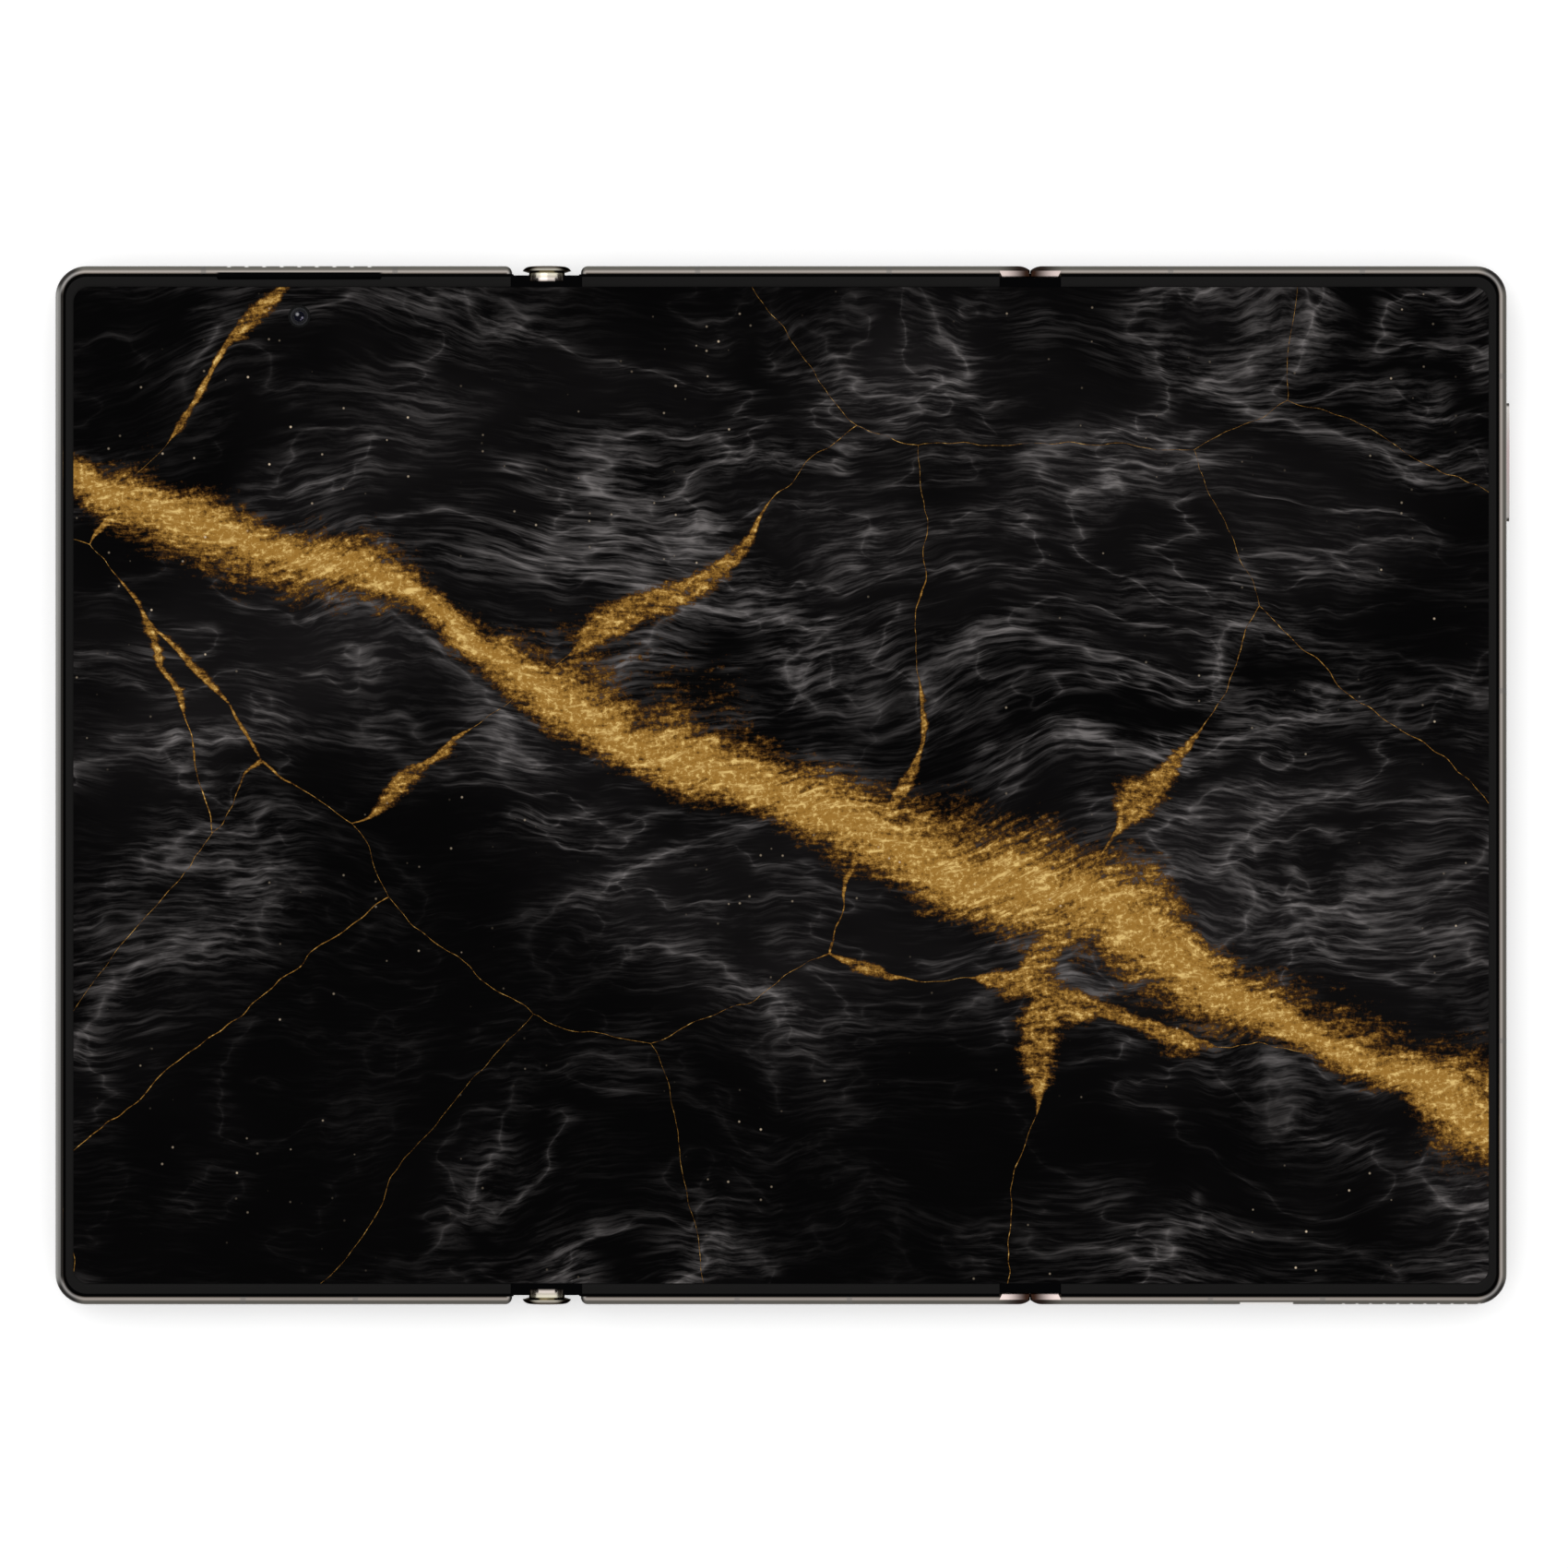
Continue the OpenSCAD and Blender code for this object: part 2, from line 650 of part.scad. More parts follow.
// Raised bezels round the display, open towards the hinges
module bezel(x0, x1, open_left, open_right, rl, rr) {
    y0 = half_h - frame_band - seat_gap;
    past = 2 * bezel_inner_r;
    difference() {
        slab(x0, x1, y0, rl, rr, -rim_up, 0, 0, bezel_round);
        plate(open_left ? x0 - past : x0 + bezel_side_w, open_right ? x1 + past : x1 - bezel_side_w,
            y0 - bezel_w, bezel_inner_r, bezel_inner_r, -rim_up - 1, 1);
    }
}
module left_bezel() color("#1a1918") difference() {
    bezel(x_left + frame_band + seat_gap, x_outer - outer_gap - 0.2, false, true,
        corner_r - frame_band - seat_gap, 0.6);
    translate([ear_x, 0, zd]) slot_y(25, 1, half_h - frame_band - 0.4, half_h);
}
module middle_bezel() color("#1a1918")
    bezel(x_outer + outer_gap + 0.2, x_inner - inner_bend_half, true, true, 0.6, 0.6);
module right_bezel() color("#1a1918")
    bezel(x_inner + inner_bend_half, x_right - frame_band - seat_gap, true, false,
        0.6, corner_r - frame_band - seat_gap);

// ---------- inside the panels ----------

module cell(x0, x1, y0, y1, h0, h1)
    translate([0, (y0 + y1) / 2, 0]) plate(x0, x1, (y1 - y0) / 2, battery_r, battery_r, h0, h1);

module left_battery() color("#3c4046")
    cell(x_left + wall_t + battery_side, x_outer - battery_u, sim_l + 5 - half_h, half_h - top_bay,
        plate_h, thin_floor_h - battery_gap);
module middle_battery() color("#3c4046")
    cell(x_outer + battery_u, x_inner - rail_u - battery_side, top_bay / 2 - half_h, half_h - top_bay / 2,
        plate_h, thin_floor_h - battery_gap);
module right_battery() color("#3c4046")
    cell(x_inner + rail_u + battery_side, x_right - wall_t - board_side, bottom_bay - half_h, board_y - 1,
        plate_h, plate_h + right_battery_t);

module front_camera() color("#15171c")
    translate([front_lens_x, half_h - front_lens_y, zd - 0.05]) {
        difference() {
            translate([0, 0, -front_barrel_l]) cylinder(d = front_lens_d - 2 * seat_gap, h = front_barrel_l);
            translate([0, 0, -front_seat])
                cylinder(d1 = front_glass_d, d2 = front_glass_d + 0.9, h = front_seat + e);
        }
        translate([-front_housing_w / 2, -front_housing_w / 2, -front_barrel_l - 0.05])
            cube([front_housing_w, front_housing_w, front_housing_t]);
    }
module front_lens() color("#182238")
    translate([front_lens_x, half_h - front_lens_y, zd - 0.05 - front_seat])
        lens(front_glass_d - 0.1, 0.4, 0.1);

module earpiece() color("#26282b") difference() {
    translate([ear_x, half_h - wall_t - 1.5, zd - 2.7])
        linear_extrude(2.7 - plate_h) outline(-6.5, 6.5, 1.3, 0.5, 0.5);
    translate([ear_x, 0, zd - 1.9]) slot_y(9, 0.8, half_h - wall_t - 1.5, half_h);
}

// SIM tray with its door, and the reader that it slides into
module sim_tray() color("#b0a49b") difference() {
    translate([sim_x, 0, zd - sim_mid_h]) {
        slot_y(sim_w, sim_h, -half_h + 0.02, 0.3 - cavity_half);
        translate([-sim_w / 2 + 0.9, 0.2 - cavity_half, -tray_t / 2])
            cube([sim_w - 1.8, sim_l - wall_t, tray_t]);
    }
    translate([sim_x - 4.45, 1 - cavity_half, zd - sim_mid_h - 0.1]) cube([8.9, 12.4, tray_t]);
    translate([sim_x - sim_w / 2 + 1.6, 0, zd - sim_mid_h]) rod_y(0.8, -half_h - 1, 1.5 - half_h);
}
module sim_reader() color("#8c9094") difference() {
    depth_cube(sim_x - sim_w / 2, sim_x + sim_w / 2, 0.6 - cavity_half, sim_l - half_h + 2,
        plate_h, thin_floor_h - 0.1);
    depth_cube(sim_x - sim_w / 2 + 0.8, sim_x + sim_w / 2 - 0.8, -half_h, sim_l - half_h + 0.3,
        sim_mid_h - tray_t / 2 - seat_gap, sim_mid_h + tray_t / 2 + seat_gap);
}

// Camera island: an eight-sided metal ring, the glass in it and what looks through the glass
module island_outline(w)
    intersection() {
        square(w, center = true);
        rotate(45) square(w, center = true);
        circle(d = 1.045 * w);
    }
module camera_island() color("#3a3533") translate([island_x, island_mid_y, 0]) difference() {
    union() {
        translate([0, 0, island_step]) linear_extrude(island_t - island_step) island_outline(island_w);
        linear_extrude(island_step) island_outline(island_w - 2 * island_step);
    }
    translate([0, 0, -1]) linear_extrude(glass_back + 1) island_outline(island_w - 2 * island_rim_w);
    translate([0, 0, -1]) cylinder(d = island_bore, h = island_t + 2);
}
module camera_glass() color("#0c0d10") translate([island_x, island_mid_y, glass_up])
    linear_extrude(glass_t) island_outline(island_w - 2 * island_rim_w - 2 * seat_gap);
module at_lenses()
    for (a = lens_angles)
        translate([island_x + lens_spread * cos(a), island_mid_y + lens_spread * sin(a), 0]) children();
module camera_modules() color("#1c1e22") at_lenses() {
    translate([0, 0, glass_back]) difference() {
        cylinder(d = lens_d, h = barrel_l);
        translate([0, 0, -e]) cylinder(d1 = lens_d - 1.4, d2 = lens_glass_d + 0.4, h = lens_hood + e);
        translate([0, 0, lens_hood / 2]) cylinder(d = lens_glass_d + 0.1, h = lens_seat - lens_hood / 2);
    }
    translate([-module_w / 2, -module_w / 2, glass_back + barrel_l - 0.5])
        cube([module_w, module_w, module_t]);
}
module camera_lenses() color("#141b2c") at_lenses()
    translate([0, 0, glass_back + lens_seat]) mirror([0, 0, 1]) lens(lens_glass_d, 0.9, 0.25);
module camera_flash() color("#e8d9a8")
    translate([island_x, island_mid_y + flash_up, glass_back]) cylinder(d = flash_d, h = 0.9);

module main_board() color("#1f4a3a") difference() {
    union() {
        depth_cube(x_inner + rail_u + battery_side, x_right - wall_t - board_side, board_y, cavity_half - 0.4,
            plate_h, plate_h + board_t);
        for (x = [x_inner + rail_u + 1, x_right - wall_t - board_side - shield_w - 0.6])
            depth_cube(x, x + shield_w, board_y + 2, cavity_half - 2,
                plate_h + board_t - 0.1, plate_h + board_t + shield_t - 0.1);
    }
    at_lenses() linear_extrude(zd) square(module_w + 0.8, center = true);
}

module usb_port() color("#a9adb1") translate([usb_x, 0, zd - usb_mid_h]) {
    difference() {
        slot_y(usb_w + 0.5, usb_h + 0.4, 0.02 - cavity_half, 7 - cavity_half);
        slot_y(usb_w, usb_h, -half_h, 6.4 - cavity_half);
    }
    translate([-3.35, 0.9 - cavity_half, -0.35]) cube([6.7, 5.8, 0.7]);
}
module loudspeaker() color("#2b2d30") difference() {
    translate([0, 0.3 + speaker_l / 2 - cavity_half, 0])
        plate(speaker_x - speaker_w / 2, min(speaker_x + speaker_w / 2, x_right - wall_t - 0.6),
            speaker_l / 2, 1, 2.6, plate_h, right_floor_h - 0.4);
    hole_row(speaker_x, speaker_holes, hole_pitch, usb_mid_h, hole_d, -half_h, 2.5 - cavity_half);
}
module vibration_motor() color("#9ea2a6")
    translate([x_inner + rail_u + 6, 6 - cavity_half, zd - plate_h - motor_t])
        cylinder(d = motor_d, h = motor_t);

// Power key, held by the flange behind the wall, and the switch that it presses
module power_key() color("#b9aca3") translate([0, key_mid_y, zd - key_h]) {
    slot_x(key_l, key_w, x_right - wall_t - 0.2, x_right + key_proud);
    translate([x_right - wall_t - key_flange_t - 0.05, -key_l / 2 - 0.8, -key_w / 2 - key_lip])
        cube([key_flange_t, key_l + 1.6, key_w + 2 * key_lip]);
}
module power_switch() color("#c9b27a")
translate([x_right - wall_t - key_flange_t - key_travel - 0.15, key_mid_y, zd - key_h]) {
    rotate([0, -90, 0]) cylinder(d = 2.4, h = 0.5);
    translate([-0.9, -5, -1.1]) cube([0.5, 10, key_h - plate_h + 1.1]);
}

// ---------- outer hinge ----------

// Barrel between the two wing plates, with grooves, notches and gear bays
module barrel_outline() {
    top_u = outer_axis_1 - slant(display_t);
    edge_h = display_t + wing_t + 0.06;
    edge_u = outer_axis_1 - slant(edge_h);
    flank_h = edge_h + barrel_half - edge_u;
    right = [[top_u, -display_t - 0.02], [edge_u, -edge_h], [barrel_half, -flank_h],
        [barrel_half, -barrel_h + 0.4], [barrel_half - 0.4, -barrel_h]];
    polygon(concat(right, [for (i = [4:-1:0]) [-right[i][0], right[i][1]]]));
}
module outer_barrel() color("#8f857e") translate([x_outer, 0, 0]) difference() {
    section(-half_h + outer_display_inset, half_h - outer_display_inset) barrel_outline();
    for (s = [-1, 1]) at_fold(0, s) {
        for (y = station_ys) {
            section(y + rail_dy - tongue_w / 2 - 0.1, y + rail_dy + tongue_w / 2 + 0.1)
                translate([outer_axis_1, -neutral_h])
                    ring_sector(outer_rail_r - run_gap, outer_rail_r + outer_rail_t + run_gap, -155, -20);
            section(y - rail_dy - tongue_w / 2 - 0.7, y - rail_dy + tongue_w / 2 + 0.7)
                depth_box(1.05, 4, 0, 4);
        }
        for (y = gear_ys)
            section(y - gear_w / 2 - 0.1, y + gear_w / 2 + 0.1) {
                depth_box(-0.1, 1.85, outer_shaft_h - 1.02, outer_shaft_h + 1);
                depth_box(0.5, 4, outer_shaft_h - 1.02, 4);
            }
    }
    outer_shaft_rods(shaft_d);
}
module outer_shaft_rods(d)
    for (s = [-1, 1], y = gear_ys)
        translate([s * outer_shaft_u, y, zd - outer_shaft_h]) rod_y(d, -gear_w / 2 - 1, gear_w / 2 + 1);
module outer_shafts() color("#d8d8d6") translate([x_outer, 0, 0]) outer_shaft_rods(shaft_d);

// End caps: a flange that flares to a rim round the folded display's edge, and a neck behind it
module outer_end_caps() color("#c3b7ad") translate([x_outer, 0, 0])
    for (s = [0, 1]) mirror([0, s, 0]) intersection() {
        translate([0, half_h + cap_proud, zd - bend_r]) rotate([90, 0, 0]) rotate_extrude() cap_profile();
        depth_cube(-2 * bend_r, 2 * bend_r, half_h - outer_display_inset, half_h + 1, -1, barrel_h);
    }
module cap_profile() {
    face_r = rim_r - cap_flare;
    arc_r = (cap_flare * cap_flare + flange_t * flange_t) / (2 * flange_t);
    square([face_r, flange_t]);
    intersection() {
        translate([face_r, arc_r]) circle(arc_r);
        translate([face_r - e, 0]) square([cap_flare + e, flange_t]);
    }
    neck_end = outer_display_inset + cap_proud;
    polygon([[0, flange_t - e], [rim_r, flange_t], [waist_r, flange_t + cap_under],
        [neck_r, neck_end], [neck_r, neck_end + 1], [0, neck_end + 1]]);
}

// Wing plates, which carry the display over the bends beside the barrel
module outer_wing() difference() {
    union() {
        section(-wing_y, wing_y)
            polygon([[outer_axis_1 + slant(display_t), -display_t],
                [outer_axis_2 - slant(display_t), -display_t],
                [outer_axis_2 - slant(display_t + wing_t), -display_t - wing_t],
                [outer_axis_1 + slant(display_t + wing_t), -display_t - wing_t]]);
        for (y = station_ys)
            section(y - rail_dy - tongue_w / 2 - 0.6, y - rail_dy + tongue_w / 2 + 0.6)
                translate([outer_axis_2, -display_t - wing_t])
                    polygon([[-1.26, e], [-0.27, e], [-0.27, -0.22], [-0.1, -0.34], [-0.1, -0.8],
                        [-1.1, -0.8], [-1.26, -0.6]]);
        translate([0, rail_dy, 0]) outer_tongues(outer_axis_1);
    }
    for (y = station_ys)
        section(y - rail_dy - tongue_w / 2 - 0.1, y - rail_dy + tongue_w / 2 + 0.1)
            translate([outer_axis_2, -neutral_h])
                ring_sector(outer_rail_r - run_gap, outer_rail_r + outer_rail_t + run_gap, -157, -20);
    for (y = gear_ys)
        section(y - gear_w / 2 - 0.15, y + gear_w / 2 + 0.15) depth_box(0, outer_axis_1 + 1.45, 0, 2);
}
module outer_wing_left() color("#77706b") at_fold(x_outer, -1) outer_wing();
module outer_wing_middle() color("#77706b") at_fold(x_outer, 1) outer_wing();

// Arms: a gear on a shaft in the barrel and a blade that slides in the panel
module arm(shaft_u, shaft_h, pitch_r, length, phase)
    for (y = gear_ys)
        section(y - gear_w / 2, y + gear_w / 2) translate([shaft_u, -shaft_h]) difference() {
            union() {
                gear_outline(pitch_r, phase);
                translate([0, -arm_t / 2]) square([length - arm_t / 2, arm_t]);
                translate([length - arm_t / 2, 0]) circle(d = arm_t);
            }
            circle(d = shaft_d + 2 * run_gap);
        }
module outer_arm_left() color("#c9c6c2")
    at_fold(x_outer, -1) arm(outer_shaft_u, outer_shaft_h, outer_shaft_u, outer_arm_l, 0);
module outer_arm_middle() color("#c9c6c2")
    at_fold(x_outer, 1) arm(outer_shaft_u, outer_shaft_h, outer_shaft_u, outer_arm_l, 180 / teeth);

// ---------- inner hinge ----------

// Spine: a cradle with arc grooves round both fold axes and a bay for four gears
module inner_spine() color("#8f857e") translate([x_inner, 0, 0]) difference() {
    section(-spine_y, spine_y) difference() {
        union() {
            for (s = [-1, 1]) translate([s * pivot_u, -pivot_h]) circle(spine_r);
            depth_box(-pivot_u, pivot_u, pivot_h, pivot_h + spine_r);
        }
        depth_box(-4, 4, -4, display_t + 0.02);
        for (s = [0, 1]) mirror([s, 0]) depth_box(door_near - 0.07, 4, -4, shoulder_h);
    }
    for (s = [-1, 1], y = station_ys)
        mirror([s < 0 ? 1 : 0, 0, 0]) mirror([0, s < 0 ? 1 : 0, 0])
            section(y + rail_dy - tongue_w / 2 - 0.1, y + rail_dy + tongue_w / 2 + 0.1)
                translate([pivot_u, -pivot_h]) {
                    ring_sector(inner_rail_r - run_gap, inner_rail_r + inner_rail_t + run_gap, -163, -40);
                    ring_sector(inner_rail_r - run_gap, spine_r + 1, -48, 60);
                }
    for (y = gear_ys)
        section(y - gear_w / 2 - 0.1, y + gear_w / 2 + 0.1) {
            depth_box(-4.5 * inner_pitch_r, 4.5 * inner_pitch_r, 0, inner_shaft_h + 1.3 * inner_pitch_r);
            for (s = [0, 1]) mirror([s, 0])
                depth_box(2 * inner_pitch_r, 4, 0, inner_shaft_h + arm_t / 2 + 0.1);
        }
    inner_shaft_rods(shaft_d);
}
module inner_shaft_rods(d)
    for (k = [-3, -1, 1, 3], y = gear_ys)
        translate([k * inner_pitch_r, y, zd - inner_shaft_h]) rod_y(d, -gear_w / 2 - 1, gear_w / 2 + 1);
module inner_shafts() color("#d8d8d6") translate([x_inner, 0, 0]) inner_shaft_rods(shaft_d);
module idler(k)
    for (y = gear_ys)
        translate([x_inner, 0, 0]) section(y - gear_w / 2, y + gear_w / 2)
            translate([k * inner_pitch_r, -inner_shaft_h]) difference() {
                gear_outline(inner_pitch_r, k > 0 ? 180 / teeth : 0);
                circle(d = shaft_d + 2 * run_gap);
            }
module inner_idler_middle() color("#c9c6c2") idler(-1);
module inner_idler_right() color("#c9c6c2") idler(1);
module inner_arm_middle() color("#c9c6c2")
    at_fold(x_inner, -1) arm(3 * inner_pitch_r, inner_shaft_h, inner_pitch_r, inner_arm_l, 180 / teeth);
module inner_arm_right() color("#c9c6c2")
    at_fold(x_inner, 1) arm(3 * inner_pitch_r, inner_shaft_h, inner_pitch_r, inner_arm_l, 0);

// Support plates, which tilt to make room for the folded display
module door() difference() {
    union() {
        section(-door_y, door_y) {
            depth_box(door_near, door_far, display_t, display_t + door_t);
            translate([door_far, -display_t - door_t / 2]) circle(d = door_t);
        }
        translate([door_far, 0, zd - display_t - door_t / 2])
            rod_y(0.26, -wall_y - 0.5, wall_y + 0.5);
    }
    for (y = station_ys)
        depth_cube(0, door_far - 1, y - station_l / 2, y + station_l / 2, 0, 3);
}
module middle_door() color("#77706b") at_fold(x_inner, -1) door();
module right_door() color("#77706b") at_fold(x_inner, 1) door();

left_frame();
middle_frame();
right_frame();
left_cover();
middle_cover();
right_cover();
left_bezel();
middle_bezel();
right_bezel();
left_display();
middle_display();
right_display();
outer_fold_display();
inner_fold_display();
left_battery();
middle_battery();
right_battery();
left_antenna_breaks();
middle_antenna_breaks();
right_antenna_breaks();
front_camera();
front_lens();
earpiece();
sim_tray();
sim_reader();
camera_island();
camera_glass();
camera_modules();
camera_lenses();
camera_flash();
main_board();
usb_port();
loudspeaker();
vibration_motor();
power_key();
power_switch();
outer_barrel();
outer_end_caps();
outer_wing_left();
outer_wing_middle();
outer_arm_left();
outer_arm_middle();
outer_shafts();
inner_spine();
inner_arm_middle();
inner_arm_right();
inner_idler_middle();
inner_idler_right();
inner_shafts();
middle_door();
right_door();
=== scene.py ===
import math

import bmesh
import bpy
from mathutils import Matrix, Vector
from mathutils.geometry import tessellate_polygon


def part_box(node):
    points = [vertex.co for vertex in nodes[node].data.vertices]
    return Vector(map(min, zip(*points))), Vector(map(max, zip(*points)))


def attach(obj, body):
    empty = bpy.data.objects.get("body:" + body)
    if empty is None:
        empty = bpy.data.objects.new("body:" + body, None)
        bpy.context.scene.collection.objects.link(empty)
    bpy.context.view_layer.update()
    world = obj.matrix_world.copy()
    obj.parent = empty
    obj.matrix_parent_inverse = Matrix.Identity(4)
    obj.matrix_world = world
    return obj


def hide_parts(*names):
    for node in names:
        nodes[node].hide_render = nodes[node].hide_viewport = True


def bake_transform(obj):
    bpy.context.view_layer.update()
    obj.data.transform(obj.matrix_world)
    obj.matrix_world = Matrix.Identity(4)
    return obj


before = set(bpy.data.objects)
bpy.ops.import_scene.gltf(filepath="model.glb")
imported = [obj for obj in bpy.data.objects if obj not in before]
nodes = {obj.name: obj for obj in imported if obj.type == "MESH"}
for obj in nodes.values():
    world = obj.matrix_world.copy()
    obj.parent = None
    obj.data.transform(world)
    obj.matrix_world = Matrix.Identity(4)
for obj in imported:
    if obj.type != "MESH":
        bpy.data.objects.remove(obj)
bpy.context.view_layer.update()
mm = 0.001  # values in the dictionaries below are in millimetres, the frame is in metres
toMm = 1000.0  # and back again
print("frame loaded:", len(nodes), "nodes")


# Places that several pieces share, read from the frame.

def middleOf(node):
    low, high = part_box(node)
    return tuple((a + b) / 2 for a, b in zip(low, high))


outerFoldLow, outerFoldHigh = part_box("outer_fold_display")
innerFoldLow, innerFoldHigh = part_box("inner_fold_display")
innerFoldX = middleOf("inner_fold_display")[0]
bezelLow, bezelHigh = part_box("left_bezel")
glassLow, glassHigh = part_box("camera_glass")
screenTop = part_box("left_display")[1].z
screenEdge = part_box("left_display")[1].y


# Helpers for shader nodes.

def setSocket(tree, socket, value):
    if isinstance(value, bpy.types.NodeSocket):
        tree.links.new(value, socket)
    elif socket.type == "RGBA" and len(value) == 3:
        socket.default_value = (*value, 1.0)
    else:
        socket.default_value = value


def addNode(tree, kind, inputs=None, **settings):
    made = tree.nodes.new(kind)
    for key, value in settings.items():
        setattr(made, key, value)
    for key, value in (inputs or {}).items():
        setSocket(tree, made.inputs[key], value)
    return made


# Takes any number of values and works through them from the left.
def calc(tree, operation, first, *others, clamp=False):
    others = others or (0.0,)
    for k, other in enumerate(others, 1):
        made = addNode(tree, "ShaderNodeMath", {0: first, 1: other}, operation=operation)
        made.use_clamp = clamp and k == len(others)
        first = made.outputs[0]
    return first


def times(tree, *values, **extra):
    return calc(tree, "MULTIPLY", *values, **extra)


def plus(tree, *values, **extra):
    return calc(tree, "ADD", *values, **extra)


def minus(tree, *values, **extra):
    return calc(tree, "SUBTRACT", *values, **extra)


def away(tree, value, centre):
    return calc(tree, "ABSOLUTE", minus(tree, value, centre))


def vectorCalc(tree, operation, a, b=None, scale=None):
    inputs = {0: a}
    if b is not None:
        inputs[1] = b
    if scale is not None:
        inputs[3] = scale
    made = addNode(tree, "ShaderNodeVectorMath", inputs, operation=operation)
    return made.outputs["Value" if operation == "LENGTH" else "Vector"]


def axes(tree, vector):
    return addNode(tree, "ShaderNodeSeparateXYZ", {0: vector}).outputs


def axesInMm(tree, vector):
    return axes(tree, vectorCalc(tree, "MULTIPLY", vector, (toMm, toMm, toMm)))


# A smooth step. The ranges in the dictionaries are its low and high, then what it makes of them.
def ramp(tree, value, low, high, lowTo=0.0, highTo=1.0):
    inputs = {"Value": value, "From Min": low, "From Max": high, "To Min": lowTo, "To Max": highTo}
    return addNode(tree, "ShaderNodeMapRange", inputs, interpolation_type="SMOOTHSTEP").outputs[0]


def noise(tree, vector, scale, detail=2.0, roughness=0.5):
    inputs = {"Vector": vector, "Scale": scale, "Detail": detail, "Roughness": roughness}
    return addNode(tree, "ShaderNodeTexNoise", inputs).outputs


def mixColour(tree, factor, a, b, mode="MIX"):
    inputs = {0: factor, 6: a, 7: b}
    return addNode(tree, "ShaderNodeMix", inputs, data_type="RGBA", blend_type=mode).outputs[2]


def tintBy(tree, colour, shade):
    grey = addNode(tree, "ShaderNodeCombineColor", {0: shade, 1: shade, 2: shade})
    return mixColour(tree, 1.0, colour, grey.outputs[0], "MULTIPLY")


def bands(tree, value, stops):
    made = addNode(tree, "ShaderNodeValToRGB", {0: value})
    spots = made.color_ramp.elements
    spots.remove(spots[1])
    for k, (place, colour) in enumerate(stops):
        spot = spots.new(place) if k else spots[0]
        spot.position = place
        spot.color = (*colour, 1.0)
    return made.outputs[0]


# Every group reads a place. Its other inputs come with their values: one number, or three.
def newGroup(name, outputs, kind="Float", **inputs):
    tree = bpy.data.node_groups.new(name, "ShaderNodeTree")
    for label, value in {"Place": (0, 0, 0), **inputs}.items():
        family = "NodeSocketFloat" if isinstance(value, float) else "NodeSocketVector"
        socket = tree.interface.new_socket(name=label, in_out="INPUT", socket_type=family)
        socket.default_value = value
    for label in outputs:
        tree.interface.new_socket(name=label, in_out="OUTPUT", socket_type="NodeSocket" + kind)
    start = tree.nodes.new("NodeGroupInput")
    end = tree.nodes.new("NodeGroupOutput")
    return tree, start.outputs, end.inputs


def giveOut(tree, wanted, **values):
    for label, value in values.items():
        tree.links.new(value, wanted[label])
    return tree


def useGroup(tree, group, inputs):
    return addNode(tree, "ShaderNodeGroup", inputs, node_tree=group).outputs


# Effects shared by the materials, each a group built once.

grainLook = {
    "octaves": 3.0,
    "fineRoughness": 0.6,
    "broadScale": 90.0,
    "broadRoughness": 0.55,
}


def makeFineGrain():
    look = grainLook
    inputs = {"Size": 0.1, "Stretch": (1, 1, 1), "Tone": 0.06}
    tree, given, wanted = newGroup("fineGrain", ("Height", "Shade", "Gloss"), **inputs)
    stretched = vectorCalc(tree, "MULTIPLY", given["Place"], given["Stretch"])
    scale = calc(tree, "DIVIDE", toMm, given["Size"])
    fine = noise(tree, stretched, scale, look["octaves"], look["fineRoughness"])[0]
    broad = noise(tree, given["Place"], look["broadScale"], look["octaves"], look["broadRoughness"])[0]
    swing = minus(tree, broad, 0.5)
    both = plus(tree, swing, minus(tree, fine, 0.5))
    shade = plus(tree, 1.0, times(tree, both, given["Tone"]))
    return giveOut(tree, wanted, Height=fine, Shade=shade, Gloss=swing)


pebbleLook = {
    "wobbleScale": 420.0,
    "wobble": 0.9,
    "creaseWidth": 0.16,
    "domeWidth": 0.5,
    "patch": (60.0, 3.0),  # scale and octaves
    "poreScale": 5200.0,
    "poreShare": 0.2,
}


def makeLeatherGrain():
    look = pebbleLook
    tree, given, wanted = newGroup("leatherGrain", ("Height", "Crease", "Patch"), Pebble=0.7)
    wobble = noise(tree, given["Place"], look["wobbleScale"])[1]
    shift = vectorCalc(tree, "SCALE", wobble, scale=look["wobble"] * mm)
    moved = vectorCalc(tree, "ADD", given["Place"], shift)
    cells = {"Vector": moved, "Scale": calc(tree, "DIVIDE", toMm, given["Pebble"])}
    toEdge = addNode(tree, "ShaderNodeTexVoronoi", cells, feature="DISTANCE_TO_EDGE").outputs[0]
    crease = ramp(tree, toEdge, 0.0, look["creaseWidth"])
    dome = ramp(tree, toEdge, 0.0, look["domeWidth"])
    patch = noise(tree, given["Place"], *look["patch"])[0]
    pores = noise(tree, given["Place"], look["poreScale"])[0]
    lift = times(tree, dome, 1 - look["poreShare"])
    height = plus(tree, lift, times(tree, pores, look["poreShare"]))
    return giveOut(tree, wanted, Height=height, Crease=crease, Patch=patch)


